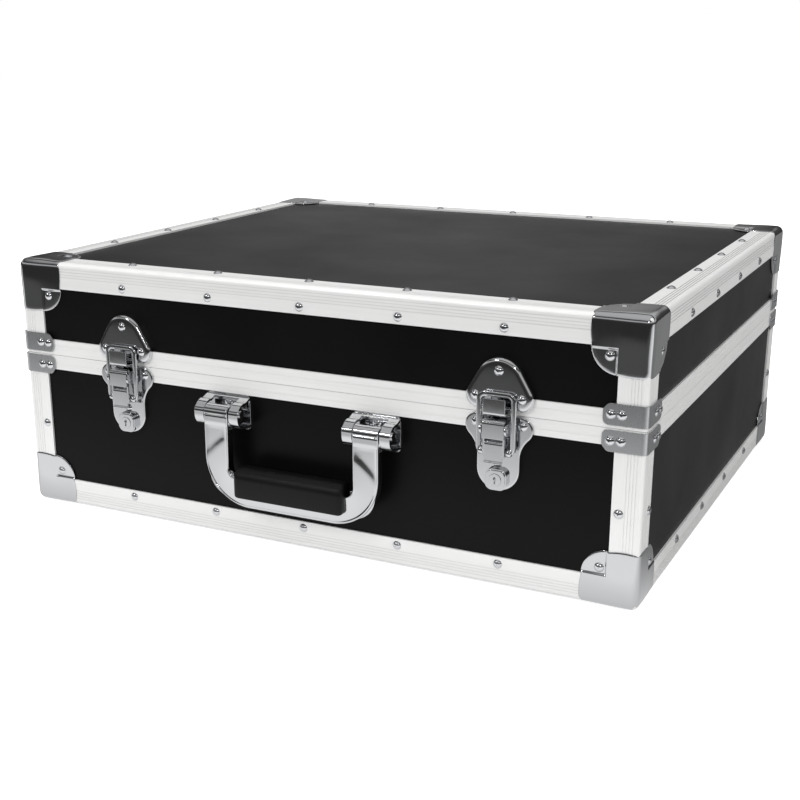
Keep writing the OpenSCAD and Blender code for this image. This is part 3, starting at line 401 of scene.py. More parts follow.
# grey-black hardboard with a matt film
BOARD = PlainFinish("film_faced_board", "#26272a", 0.62, 0.8 * MM, 0.04 * MM)
# vulcanised rubber foot: dull, slightly dusty
RUBBER = PlainFinish("vulcanised_rubber", "#1d1d1d", 0.72, 0.7 * MM, 0.05 * MM)
# zinc-plated hinge steel: grey with a fine crystal bloom
ZINC = PlainFinish("zinc_plated_steel", "#b9bbbe", 0.34, 1.2 * MM, 0.01 * MM, metallic=1.0, contrast=0.06)


# ---------------------------------------------------------------------------
# Mesh helpers
# ---------------------------------------------------------------------------
def mesh_object(name: str, points: np.ndarray, faces: Sequence, smooth: bool = True) -> bpy.types.Object:
    """Makes an object at the origin from points and faces.

    Args:
        name: the piece's name.
        points: array of shape (n, 3), in metres.
        faces: faces as sequences of point numbers.
        smooth: whether the faces are shaded smooth.

    Returns:
        The new object.
    """
    mesh = bpy.data.meshes.new(name)
    mesh.from_pydata(np.asarray(points, float).reshape(-1, 3).tolist(), [], [tuple(f) for f in faces])
    mesh.polygons.foreach_set("use_smooth", np.full(len(mesh.polygons), smooth))
    mesh.update()
    obj = bpy.data.objects.new(name, mesh)
    bpy.context.collection.objects.link(obj)
    return obj


def grid_faces(rows: int, cols: int, close_rows: bool = False, close_cols: bool = False,
               start: int = 0) -> np.ndarray:
    """Quads of a grid of points stored row by row.

    Args:
        rows: number of rows.
        cols: number of columns.
        close_rows: whether the last row joins the first.
        close_cols: whether the last column joins the first.
        start: number of the grid's first point.

    Returns:
        Array of shape (faces, 4).
    """
    r = np.arange(rows if close_rows else rows - 1)
    c = np.arange(cols if close_cols else cols - 1)
    r, c = np.meshgrid(r, c, indexing="ij")
    r2, c2 = (r + 1) % rows, (c + 1) % cols
    quads = np.stack([r * cols + c, r * cols + c2, r2 * cols + c2, r2 * cols + c], axis=-1)
    return quads.reshape(-1, 4) + start


@dataclass
class Piece:
    """Collects surfaces into one mesh for one piece."""

    name: str
    points: list[np.ndarray] = field(default_factory=list)
    faces: list[tuple[int, ...]] = field(default_factory=list)
    count: int = 0

    def grid(self, points: np.ndarray, close_rows: bool = False, close_cols: bool = False,
             cap_rows: bool = False, flip: bool = False) -> None:
        """Adds a grid of points as a surface.

        Args:
            points: array of shape (rows, columns, 3).
            close_rows: whether the last row joins the first.
            close_cols: whether the last column joins the first.
            cap_rows: whether the first and last rows are closed by a flat face.
            flip: whether the faces turn the other way.
        """
        rows, cols = points.shape[:2]
        quads = grid_faces(rows, cols, close_rows, close_cols, self.count).tolist()
        if cap_rows:
            first = np.arange(cols) + self.count
            last = first + (rows - 1) * cols
            quads += [tuple(first[::-1].tolist()), tuple(last.tolist())]
        self.faces += [tuple(q[::-1]) if flip else tuple(q) for q in quads]
        self.points.append(points.reshape(-1, 3))
        self.count += rows * cols

    def tube(self, points: np.ndarray) -> None:
        """Adds rows of closed rings as a tube or prism with flat ends."""
        self.grid(points, close_cols=True, cap_rows=True)

    def build(self, closed: bool = True) -> bpy.types.Object:
        """Makes the object, with its doubles merged.

        Args:
            closed: whether the surfaces are closed, so that their normals can be turned outwards.

        Returns:
            The new object.
        """
        obj = mesh_object(self.name, np.concatenate(self.points), self.faces)
        weld = 0.002 * MM
        shell = bmesh.new()
        shell.from_mesh(obj.data)
        bmesh.ops.remove_doubles(shell, verts=shell.verts, dist=weld)
        bmesh.ops.dissolve_degenerate(shell, edges=shell.edges, dist=weld)
        if closed:
            bmesh.ops.recalc_face_normals(shell, faces=shell.faces)
        shell.to_mesh(obj.data)
        shell.free()
        return obj


def thicken(obj: bpy.types.Object, thickness: float) -> None:
    """Gives a sheet its thickness behind its outside face.

    Args:
        obj: the sheet, with its faces turned outwards.
        thickness: the wall, in metres.
    """
    wall = obj.modifiers.new("wall", "SOLIDIFY")
    wall.thickness = thickness
    wall.offset = -1.0
    wall.use_even_offset = True


def round_edges(obj: bpy.types.Object, radius: float) -> None:
    """Rounds an object's sharp edges, where faces meet at more than 35 degrees.

    Args:
        obj: the object.
        radius: width of the rounding, in metres.
    """
    bevel = obj.modifiers.new("edges", "BEVEL")
    bevel.width = radius
    bevel.segments = 2
    bevel.limit_method = "ANGLE"
    bevel.angle_limit = math.radians(35.0)
    # flat faces stay flat up to the rounding
    shade = obj.modifiers.new("shading", "WEIGHTED_NORMAL")
    shade.weight = 100


def declare(obj: bpy.types.Object, material: bpy.types.Material, body: str,
            node: str | None = None) -> None:
    """Dresses a finished piece and says what it is.

    Args:
        obj: the piece.
        material: its finish.
        body: body that it moves with.
        node: CAD node that it stands for, if any.
    """
    obj.data.materials.clear()
    obj.data.materials.append(material)
    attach(obj, body)
    if node:
        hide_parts(node)
    log.info("built %s on %s", obj.name, body)


def eased(value: np.ndarray) -> np.ndarray:
    """Smooth step: 0 below 0, 1 above 1, and three times the square less twice the cube between."""
    part = np.clip(value, 0, 1)
    return part * part * (3 - 2 * part)


# ---------------------------------------------------------------------------
# Curves and solids
# ---------------------------------------------------------------------------
def arc(centre: Sequence[float], radius: float, start: float, turn: float, steps: int = 12) -> np.ndarray:
    """Points on a circle.

    Args:
        centre: middle of the circle.
        radius: its radius.
        start: first angle, in degrees.
        turn: how far to go, counter-clockwise, in degrees.
        steps: number of steps.

    Returns:
        Array of shape (steps + 1, 2).
    """
    angle = np.radians(start + turn * np.linspace(0, 1, steps + 1))
    return np.asarray(centre, float) + radius * np.stack([np.cos(angle), np.sin(angle)], -1)


def wrapped(discs: Sequence[Sequence[float]], steps: int = 14) -> np.ndarray:
    """Outline of discs wrapped by straight lines that touch them.

    Args:
        discs: middle and radius (x, y, r) of each disc, counter-clockwise.
        steps: steps on each disc.

    Returns:
        Points of the outline, counter-clockwise.
    """
    here = np.asarray(discs, float)
    there = np.roll(here, -1, axis=0)
    way = there[:, :2] - here[:, :2]
    length = np.linalg.norm(way, axis=1)
    way = way / length[:, None]
    slant = (here[:, 2] - there[:, 2]) / length
    normal = way * slant[:, None] + np.stack([way[:, 1], -way[:, 0]], -1) * np.sqrt(1 - slant ** 2)[:, None]
    heading = np.degrees(np.arctan2(normal[:, 1], normal[:, 0]))
    start = np.roll(heading, 1)
    turn = (heading - start) % 360
    return np.concatenate([arc(d[:2], d[2], s, t, steps) for d, s, t in zip(here, start, turn)])


def on_front(points: np.ndarray, x: float = 0.0, z: float = SEAM_Z) -> np.ndarray:
    """Places millimetres across, out of the aluminium and up on the front wall.

    Args:
        points: array of shape (..., 3).
        x: the fitting's middle.
        z: height that the points are measured from.

    Returns:
        The points in the case's frame.
    """
    local = np.asarray(points, float) * MM
    return np.stack([x + local[..., 0], FRONT_Y - local[..., 1], z + local[..., 2]], -1)


def side_prism(outline: np.ndarray, low: float, high: float) -> np.ndarray:
    """Prism from a side view (out, up), between two places across.

    Args:
        outline: array of shape (n, 2), counter-clockwise with out to the right.
        low: first place across.
        high: second place across.

    Returns:
        Grid of two rows of points (across, out, up).
    """
    across = np.array([low, high])[:, None] * np.ones(len(outline))
    both = np.broadcast_to(outline, (2, len(outline), 2))
    return np.concatenate([across[..., None], both], -1)


def turned(profile: Sequence[Sequence[float]], centre: Sequence[float], steps: int = 32) -> np.ndarray:
    """Turned form round an axis that runs across.

    Args:
        profile: places across and radii.
        centre: the axis (out, up).
        steps: steps round the axis.

    Returns:
        Grid of points (across, out, up), one row for each profile point.
    """
    spots = np.asarray(profile, float)
    angle = np.linspace(0, 2 * np.pi, steps, endpoint=False)
    across = np.broadcast_to(spots[:, :1], (len(spots), steps))
    radius = spots[:, 1:]
    return np.stack([across, centre[0] + radius * np.cos(angle), centre[1] + radius * np.sin(angle)], -1)


def bent_strip(back: float, front: float, top: float, low: float, radius: float, sheet: float,
               steps: int = 10) -> np.ndarray:
    """Side view of a strip that comes out level and turns down at the front.

    Args:
        back: where the strip starts, out of the aluminium.
        front: outside of its front.
        top: outside of its top.
        low: lower end.
        radius: outside radius of the bend.
        sheet: thickness.
        steps: steps on the bend.

    Returns:
        Closed outline (out, up), counter-clockwise.
    """
    middle = (front - radius, top - radius)
    return np.concatenate([[[front, low]], arc(middle, radius, 0, 90, steps),
                           [[back, top], [back, top - sheet]],
                           arc(middle, radius - sheet, 90, -90, steps), [[front - sheet, low]]])


# ---------------------------------------------------------------------------
# Corner caps
# ---------------------------------------------------------------------------
@dataclass(frozen=True)
class CapSizes:
    """Sizes of a pressed corner cap, in millimetres."""

    leg: float = 40.5
    leg_w: float = 21.2
    sheet: float = 1.4
    edge_r: float = 4.8
    step: float = 1.6
    step_lead: float = 0.8
    step_run: float = 1.7
    bulge: float = 0.7
    bulge_at: float = 14.0
    bulge_spread: float = 11.0
    bow: float = 0.6
    bow_from: float = 30.0
    turned_down: float = 0.35
    rim: float = 1.4


@dataclass
class CornerCaps:
    """Four pressed caps, each with an ear let down onto the panel on all three faces."""

    name: str
    node: str
    body: str
    level: float
    upward: float
    sizes: CapSizes = CapSizes()

    def face(self) -> np.ndarray:
        """Shapes one face of a cap, with its outside corner at the origin.

        A square grid over two legs and the ear between them. The ear's part is pulled onto a quarter of a
        disc, and every point is pushed out of a core box by the edges' radius, less what the form sinks.

        Returns:
            Grid of points (along, along, inwards), in millimetres.
        """
        s = self.sizes
        radius, end, hip = s.edge_r + s.sheet, s.leg + s.sheet, s.leg_w + s.sheet
        fine = hip + 4.2                 # closer rows up to here, over the step
        stations = np.concatenate([
            radius * (1 - np.tan(np.radians(np.linspace(45, 0, 7)))),
            np.linspace(radius, hip, 7)[1:], np.linspace(hip, fine, 11)[1:],
            np.linspace(fine, end - s.rim, 6)[1:], [end - 0.9, end - 0.5, end - 0.2, end]])
        a, b = np.meshgrid(stations, stations, indexing="ij")
        reach = s.leg - s.leg_w
        u, v = np.clip((a - hip) / reach, 0, 1), np.clip((b - hip) / reach, 0, 1)
        ear = (u > 0) & (v > 0)
        x = np.where(ear, hip + reach * u * np.sqrt(1 - v * v / 2), a)
        y = np.where(ear, hip + reach * v * np.sqrt(1 - u * u / 2), b)
        # the legs' ends bow outwards in the middle
        bow_a, bow_b = [s.bow * np.clip((long - s.bow_from) / (end - s.bow_from), 0, 1)
                        * (1 - 8 * (wide / hip - 0.5) ** 2) for long, wide in ((a, b), (b, a))]
        x = np.where(ear | (b > hip), x, x + bow_a)
        y = np.where(ear | (a > hip), y, y + bow_b)
        # rounded box: the flat face bends round into its two neighbours
        core = np.stack([np.maximum(x, radius), np.maximum(y, radius), np.full_like(x, radius)], -1)
        away = np.stack([x, y, np.zeros_like(x)], -1) - core
        outward = away / np.linalg.norm(away, axis=-1, keepdims=True)
        down = eased((np.minimum(x, y) - hip - s.sheet + s.step_lead) / s.step_run)
        border = np.where(ear, reach - np.hypot(x - hip, y - hip), end - np.maximum(a, b))
        fall = s.turned_down * np.clip(1 - border / s.rim, 0, 1) ** 2
        # blown form: highest near the corner, so nothing stands out of the solid's box
        hill = np.exp(-((x - s.bulge_at) ** 2 + (y - s.bulge_at) ** 2) / (2 * s.bulge_spread ** 2))
        sink = s.bulge * (1 - hill) * (1 - down)
        return core + outward * (radius - sink - s.step * down - fall)[..., None]

    def build(self, material: bpy.types.Material) -> None:
        """Builds the four caps as one piece.

        Args:
            material: their finish.
        """
        piece = Piece(self.name)
        face = self.face() * MM
        for sx in (-1, 1):
            for sy in (-1, 1):
                for turn in range(3):
                    local = np.roll(face, turn, axis=-1)
                    place = np.stack([sx * (CASE_W / 2 + CAP_T - local[..., 0]),
                                      MID_Y + sy * (CASE_D / 2 + CAP_T - local[..., 1]),
                                      self.level + self.upward * (local[..., 2] - CAP_T)], -1)
                    # rows run along the first axis, so an even number of mirrored axes faces outwards
                    piece.grid(place, flip=sx * sy * self.upward < 0)
        obj = piece.build(closed=False)
        thicken(obj, self.sizes.sheet * MM)
        declare(obj, material, self.body, self.node)


# ---------------------------------------------------------------------------
# Latches
# ---------------------------------------------------------------------------
@dataclass(frozen=True)
class LatchSizes:
    """Sizes of a draw latch, in millimetres from its middle, the aluminium and the seam."""

    sheet: float = 1.4
    # the keeper: its discs (across, up, radius), its shoulder (inset, out) and the crown of its face
    keeper_discs: tuple = ((0, 22.3, 18.0), (-15.7, 12.3, 9.5), (15.7, 12.3, 9.5))
    shoulder: tuple = ((0, -1.6), (0.02, 0.2), (0.16, 1.3), (0.55, 2.4), (1.15, 3.2), (2.0, 3.8),
                       (3.0, 4.12), (4.2, 4.2))
    crown: float = 0.25
    # the hook: its back, front, tip and foot
    hook: tuple = (0.2, 12.0, 13.0, 0.9)
    hook_bend: float = 2.5
    hook_w: float = 16.0
    # the plate: its wings (across, up, radius), its stem (radius, up) and its edge (inset, out)
    plate_out: float = 1.8
    wing: tuple = (15.8, -9.6, 9.2)
    stem: tuple = (15.75, -39.55)
    waist_r: float = 20.0
    rim: tuple = ((0, -1.6), (0.0, 0.9), (0.12, 1.35), (0.4, 1.65), (0.9, 1.8), (1.5, 1.8))
    # the plate's ears for the lever's pin
    ear_gap: float = 0.35
    ear_t: float = 1.6
    ear_r: float = 4.0
    ear_foot: float = 6.0
    # lever and loop; their pins are (out, up)
    bend: float = 3.0
    eye_r: float = 3.3
    lever_pin: tuple = (10.0, -8.5)
    lever_out: float = 13.0
    lever_top: float = -1.8
    lever_step: float = -15.0
    lever_low: float = -32.7
    lever_set: float = 1.6
    lever_gap: float = 1.6
    upper_back: float = 8.0
    wall_back: tuple = ((6.0, -4.5), (5.6, -9.0), (6.5, -14.0))
    lip_h: float = 1.6
    lip_out: float = 1.2
    loop_pin: tuple = (7.0589, -25.2)
    loop_w: float = 29.0
    loop_bar: float = 3.7
    loop_t: float = 2.5
    loop_top: float = 17.1
    loop_low: float = -28.2
    loop_r: float = 6.5

    @property
    def ear_in(self) -> float:
        """Inside face of the ears, from the latch's middle."""
        return self.hook_w / 2 + self.ear_gap


@dataclass
class Latch:
    """One draw latch: keeper on the lid, plate and lever on the base, loop on the lever."""

    side: str
    x: float
    sizes: LatchSizes = LatchSizes()

    def finish(self, piece: Piece, part: str, body: str, material: bpy.types.Material,
               edge: float = 0.25) -> None:
        """Makes a piece's object and declares what it is.

        Args:
            piece: its surfaces.
            part: last word of its node's name.
            body: body that it moves with.
            material: its finish.
            edge: rounding of its sharp edges, in millimetres.
        """
        obj = piece.build()
        if edge:
            round_edges(obj, edge * MM)
        declare(obj, material, body, f"latch_{self.side}_{part}")

    def rings(self, outline: Callable[[float], np.ndarray],
              profile: Sequence[Sequence[float]]) -> np.ndarray:
        """Stacks an outline at the insets and heights of a pressed edge.

        Args:
            outline: function from an inset to points (across, up).
            profile: insets and heights out of the aluminium, from the rim inwards.

        Returns:
            Grid of points, one row for each profile point.
        """
        rows = [np.insert(outline(inset), 1, out, axis=1) for inset, out in profile]
        return on_front(np.stack(rows), self.x)

    def plate_outline(self, inset: float) -> np.ndarray:
        """Outline of the latch plate: two wings, hollow waists and a round stem.

        Args:
            inset: how far inside the plate's edge, in millimetres.

        Returns:
            Points (across, up), counter-clockwise.
        """
        s = self.sizes
        wing_x, wing_z, wing_r = s.wing
        stem_r, stem_z = s.stem
        waist_x = stem_r + s.waist_r
        waist_z = wing_z - math.sqrt((s.waist_r + wing_r) ** 2 - (waist_x - wing_x) ** 2)
        touch = math.degrees(math.atan2(waist_z - wing_z, waist_x - wing_x))
        right = np.concatenate([
            arc((waist_x, waist_z), s.waist_r + inset, 180, touch, 14),
            arc((wing_x, wing_z), wing_r - inset, touch, 90 - touch, 20)])
        left = (right * (-1, 1))[::-1]
        bottom = arc((0, stem_z), stem_r - inset, 180, 180, 30)
        return np.concatenate([right, left, bottom])

    def keeper(self, material: bpy.types.Material) -> None:
        """Pressed dome with a round shoulder, and a hook that comes out and up in front of the loop.

        Args:
            material: its finish.
        """
        s = self.sizes
        piece = Piece(f"latch_{self.side}_keeper_pressing")

        def outline(inset: float) -> np.ndarray:
            """Outline of the dome at an inset."""
            return wrapped([(x, z, r - inset) for x, z, r in s.keeper_discs])

        dome = self.rings(outline, s.shoulder)
        # the face carries on inwards as a very low crown
        last = outline(s.shoulder[-1][0])
        middle = last.mean(axis=0)
        face = s.shoulder[-1][1]
        crown = [np.insert(middle + (last - middle) * k, 1, face + s.crown * (1 - k * k), axis=1)
                 for k in (0.85, 0.6, 0.3, 0.02)]
        piece.tube(np.concatenate([dome, on_front(np.stack(crown), self.x)]))
        # the strip turns down, so it is mirrored top to bottom to turn up
        hook = bent_strip(*s.hook, s.hook_bend, s.sheet) * (1, -1) + (0, s.hook[2] + s.hook[3])
        piece.tube(on_front(side_prism(hook, -s.hook_w / 2, s.hook_w / 2), self.x))
        self.finish(piece, "keeper", "lid", material)

    def plate(self, material: bpy.types.Material) -> None:
        """Pressed plate with its two ears for the lever's pin.

        Args:
            material: its finish.
        """
        s = self.sizes
        piece = Piece(f"latch_{self.side}_plate_pressing")
        piece.tube(self.rings(self.plate_outline, s.rim))
        sunk = 0.6                       # the ears start inside the plate
        root, (out, up) = s.plate_out - sunk, s.lever_pin
        ear = np.concatenate([[[root, up - s.ear_foot], [out, up - s.ear_r]],
                              arc((out, up), s.ear_r, -75, 150, 16),
                              [[out, up + s.ear_r], [root, up + s.ear_foot]]])
        for sign in (-1, 1):
            piece.tube(on_front(side_prism(ear, sign * s.ear_in, sign * (s.ear_in + s.ear_t)), self.x))
        self.finish(piece, "plate", "base", material)

    def lever(self, material: bpy.types.Material) -> None:
        """Lever: two walls with an upper plate and a narrower lower one bent between them.

        Args:
            material: its finish.
        """
        s = self.sizes
        piece = Piece(f"latch_{self.side}_lever_pressing")
        front, side = s.lever_out - s.lever_set, s.hook_w / 2
        inner = side - s.sheet
        (out, up), under = s.loop_pin, 0.3        # the walls end this far under the plates
        wall = np.concatenate([
            [[s.lever_out - under, s.lever_step]],
            arc((s.lever_out - s.bend, s.lever_top - s.bend), s.bend - under, 0, 90, 8),
            [[s.upper_back, s.lever_top - under], *s.wall_back, [out - s.eye_r, up + 4]],
            arc((out, up), s.eye_r, 180, 90, 10),
            [[front - 0.2, up - s.eye_r], [front - 0.2, s.lever_step]]])
        for sign in (-1, 1):
            piece.tube(on_front(side_prism(wall, sign * inner, sign * (side - 0.02)), self.x))
        upper = bent_strip(s.upper_back, s.lever_out, s.lever_top, s.lever_step, s.bend, s.sheet)
        piece.tube(on_front(side_prism(upper, -side, side), self.x))
        lower = bent_strip(s.lever_pin[0] - 3, front, s.lever_step - s.lever_gap, s.lever_low + s.lip_h,
                           s.bend, s.sheet)
        lip = np.array([[front + s.lip_out, s.lever_low], [front + s.lip_out, s.lever_low + s.lip_h / 2]])
        lower = np.concatenate([lip, lower, [[front - s.sheet, s.lever_low]]])
        piece.tube(on_front(side_prism(lower, -inner, inner), self.x))
        self.finish(piece, "lever", f"latch_{self.side}_lever", material, edge=0.22)

    def loop(self, material: bpy.types.Material) -> None:
        """Loop: a flat bar bent into a ring that is open at its lower end, with two stub pins.

        A rounded rectangle is carried along the ring's middle line, square to it.

        Args:
            material: its finish.
        """
        s = self.sizes
        piece = Piece(f"latch_{self.side}_loop_bar")
        half, r = s.loop_w / 2 - s.loop_bar / 2, s.loop_r - s.loop_bar / 2
        top, low, inside = s.loop_top - s.loop_bar / 2, s.loop_low + s.loop_bar / 2, s.ear_in
        right = np.concatenate([[[inside, low]], arc((half - r, low + r), r, 270, 90, 10),
                                arc((half - r, top - r), r, 0, 90, 10)])
        path = np.concatenate([right, (right * (-1, 1))[::-1]])
        way = np.gradient(path, axis=0)
        way /= np.linalg.norm(way, axis=1, keepdims=True)
        outwards = np.stack([way[:, 1], -way[:, 0]], -1)
        bar, deep, soft = s.loop_bar / 2, s.loop_t / 2, 0.9
        corners = [arc((sx * (bar - soft), sy * (deep - soft)), soft, start, 90, 4)
                   for sx, sy, start in ((1, 1, 0), (-1, 1, 90), (-1, -1, 180), (1, -1, 270))]
        section = np.concatenate(corners)
        flat = path[:, None] + outwards[:, None] * section[None, :, :1]
        out = np.broadcast_to(s.loop_pin[0] + section[:, 1], flat.shape[:2])
        ring = np.stack([flat[..., 0], out, flat[..., 1]], -1)
        piece.tube(on_front(ring, self.x))
        # the bosses and the stubs of the pin, as places across and radii
        boss = [(inside, 0.1), (inside, 2.6), (inside + 0.4, 3.0), (half - 1.2, 3.0), (half - 0.4, 2.4),
                (half, 0.1)]
        stub = [(6.0, 0.1), (6.0, 1.3), (6.3, 1.6), (9.6, 1.6), (9.6, 0.1)]
        for sign in (-1, 1):
            for profile in (boss, stub):
                piece.tube(on_front(turned([(sign * a, b) for a, b in profile], s.loop_pin, 24), self.x))
        self.finish(piece, "loop", f"latch_{self.side}_loop", material, edge=0)

    def build(self, material: bpy.types.Material) -> None:
        """Builds the latch's pressed pieces."""
        for build in (self.keeper, self.plate, self.lever, self.loop):
            build(material)


# ---------------------------------------------------------------------------
# Handle
# ---------------------------------------------------------------------------
@dataclass(frozen=True)
class HandleSizes:
    """Sizes of the handle, in millimetres from its middle, the aluminium and its pins."""

    pins_below_seam: float = 23.2
    pin_out: float = 14.2
    pin_r: float = 2.06
    half: float = 73.5
    arm_in: float = 52.9
    front: float = 20.0
    deep: float = 7.6
    sheet: float = 2.0
    drop: float = 71.5
    outer_r: float = 38.0
    core_top: float = -49.0
    inner_r: float = 8.0
    flange_from: float = -9.0
    flange_run: float = 3.0
    soft: float = 1.5
    dish: float = 0.35
    # the press line: height of its middle, its radius, its width and its depth
    press: tuple = (-97.5, 96.8, 7.0, 0.75)
    # the grip: its length, and the discs (out, up, radius) that its section wraps
    grip_len: float = 92.0
    grip_discs: tuple = ((23.5, -61.5, 1.5), (16.0, -48.5, 9.0), (14.0, -45.5, 6.0), (11.0, -60.0, 3.0))


@dataclass
class Handle:
    """Pressed bail with its knuckles, and the moulded grip on its bar."""

    sizes: HandleSizes = HandleSizes()

    @property
    def pins_z(self) -> float:
        """Height of the pins' axis, in metres."""
        return SEAM_Z - self.sizes.pins_below_seam * MM

    def bail(self, material: bpy.types.Material) -> None:
        """Channel-shaped bail: a section carried round the handle, from its outer to its inner outline.

        The section is a plate, slightly dished between its two turned edges, which deepen below the pins.

        Args:
            material: its finish.
        """
        s = self.sizes
        arm_z = np.concatenate([[0, -3, -6, -8], np.linspace(s.flange_from, -14, 7),
                                np.linspace(-15.2, s.outer_r - s.drop, 17)])
        outer = np.concatenate([
            np.stack([np.full(len(arm_z), s.half), arm_z], -1),
            arc((s.half - s.outer_r, s.outer_r - s.drop), s.outer_r, 0, -90, 24)[1:]])
        inner_end = s.core_top + s.inner_r
        inner = np.concatenate([
            np.stack([np.full(len(arm_z), s.arm_in), arm_z * (inner_end / arm_z[-1])], -1),
            arc((s.arm_in - s.inner_r, inner_end), s.inner_r, 0, -90, 24)[1:]])
        inner[:11, 1] = outer[:11, 1]
        outer, inner = [np.concatenate([line, (line * (-1, 1))[::-1]]) for line in (outer, inner)]
        wide = np.linalg.norm(inner - outer, axis=1)[:, None]
        z = outer[:, 1:]
        depth = s.sheet + (s.deep - s.sheet) * eased((s.flange_from - z) / s.flange_run)
        # across the plate: turned edge, round bend, dished face, round bend, turned edge
        bend = arc((s.soft, s.front - s.soft), s.soft, 180, -90, 5)
        face = np.linspace(0.08, 0.92, 15)
        side = np.broadcast_to(np.append(0, bend[:, 0]), (len(z), len(bend) + 1))
        edge = np.concatenate([s.front - depth, np.broadcast_to(bend[:, 1], (len(z), len(bend)))], 1)
        level = s.front - s.dish * np.clip(depth / s.deep, 0, 1) * np.sin(np.pi * face)
        across = np.concatenate([side, face * wide, wide - side[:, ::-1]], 1)
        out = np.concatenate([edge, level, edge[:, ::-1]], 1)
        spot = outer[:, None] + across[..., None] * ((inner - outer) / wide)[:, None]
        # above the press line, an arc round a middle far below, the plate lies a little further back
        middle, ring, run, sunk = s.press
        above = eased((np.hypot(spot[..., 0], spot[..., 1] - middle) - ring) / run + 0.5)
        inset = np.clip(np.minimum(across, wide - across) / 2.5, 0, 1)
        out = out - sunk * above * inset * (z < s.flange_from + 0.5)
        piece = Piece("handle_bail_pressing")
        piece.grid(on_front(np.stack([spot[..., 0], out, spot[..., 1]], -1), 0.0, self.pins_z))
        obj = piece.build(closed=False)
        thicken(obj, s.sheet * MM * 0.8)
        declare(obj, material, "handle", "handle_bail")

    def knuckles(self, material: bpy.types.Material) -> None:
        """Rolls at the ends of the bail's arms, turned round the pins.

        Args:
            material: their finish.
        """
        s = self.sizes
        piece = Piece("handle_bail_knuckles")
        a, b, r, soft = s.arm_in, s.half, s.front - s.pin_out, 0.5
        for sign in (-1, 1):
            tube = [(a, s.pin_r), (a, r - soft), (a + soft, r), (b - soft, r), (b, r - soft), (b, s.pin_r)]
            form = turned([(sign * x, y) for x, y in tube], (s.pin_out, 0), 48)
            piece.grid(on_front(form, 0.0, self.pins_z), close_cols=True, close_rows=True)
        obj = piece.build()
        round_edges(obj, 0.2 * MM)
        declare(obj, material, "handle")

    def grip(self, material: bpy.types.Material) -> None:
        """Moulded grip: its section carried along the bar, smaller towards both ends.

        Args:
            material: its finish.
        """
        s = self.sizes
        piece = Piece("handle_grip_moulding")
        profile = wrapped(s.grip_discs, 12)
        middle = profile.mean(axis=0)
        half = s.grip_len / 2
        # distance from an end, and the section's size there
        ends = np.array([(0.0, 0.80), (0.25, 0.87), (0.8, 0.93), (1.7, 0.972), (3.0, 0.994), (5.0, 1.0)])
        straight = np.linspace(-half + 12, half - 12, 9)
        x = np.concatenate([-half + ends[:, 0], straight, (half - ends[:, 0])[::-1]])
        size = np.concatenate([ends[:, 1], np.ones(len(straight)), ends[::-1, 1]])
        rings = middle + (profile - middle) * size[:, None, None]
        grid = np.concatenate([np.broadcast_to(x[:, None, None], (len(x), len(profile), 1)), rings], -1)
        piece.tube(on_front(grid, 0.0, self.pins_z))
        declare(piece.build(), material, "handle", "handle_grip")

    def build(self, plate: bpy.types.Material, moulded: bpy.types.Material) -> None:
        """Builds the bail, its knuckles and the grip.

        Args:
            plate: finish of the bail and its knuckles.
            moulded: finish of the grip.
        """
        self.bail(plate)
        self.knuckles(plate)
        self.grip(moulded)


# ---------------------------------------------------------------------------
# Foam
# ---------------------------------------------------------------------------
@dataclass
class FoamSheet:
    """A cut foam sheet with soft edges and a low crown."""

    name: str
    node: str
    body: str
    soft: float = 1.3 * MM
    crown: float = 0.35 * MM

    def surface(self, low: np.ndarray, high: np.ndarray) -> np.ndarray:
        """Shapes one sheet between two corners.

        Args:
            low: its lowest corner.
            high: its highest corner.

        Returns:
            Closed tube of rings round the sheet's thin axis, as a grid of points.
        """
        size = high - low
        thin = int(np.argmin(size))
        u_axis, v_axis = [k for k in range(3) if k != thin]
        half_u, half_v, half_t = size[u_axis] / 2, size[v_axis] / 2, size[thin] / 2
        soft = min(self.soft, half_t)
        turn = np.radians(np.linspace(0, 90, 5))
        inset = np.concatenate([soft * (1 - np.cos(turn)), [soft + 4 * MM, soft + 14 * MM, soft + 40 * MM]])
        inset = np.minimum(inset, min(half_u, half_v) * 0.9)
        height = np.concatenate([half_t - soft + soft * np.sin(turn), np.full(3, half_t)]) - self.crown
        height[5:] += self.crown * np.array([0.35, 0.75, 1.0])
        # outline: a rectangle walked counter-clockwise with 12 steps a side
        step = np.linspace(-1, 1, 13)[:-1]
        edge = np.ones(len(step))
        square = np.concatenate([np.stack(pair, -1) for pair in ((step, -edge), (edge, step), (-step, edge),
                                                                 (-edge, -step))])
        order = np.concatenate([np.arange(len(inset))[::-1], np.arange(len(inset))])
        sign = np.repeat([1.0, -1.0], len(inset))
        rings = np.zeros((len(order), len(square), 3))
        rings[..., u_axis] = square[:, 0] * (half_u - inset[order])[:, None]
        rings[..., v_axis] = square[:, 1] * (half_v - inset[order])[:, None]
        rings[..., thin] = (sign * height[order])[:, None]
        return rings + (low + high) / 2

    def build(self, boxes: Sequence[tuple[np.ndarray, np.ndarray]], material: bpy.types.Material) -> None:
        """Builds the sheets as one padded piece.

        Args:
            boxes: lowest and highest corner of each sheet.
            material: the foam's finish.
        """
        piece = Piece(self.name)
        for low, high in boxes:
            piece.tube(self.surface(np.asarray(low, float), np.asarray(high, float)))
        obj = piece.build()
        declare(obj, material, self.body, self.node)


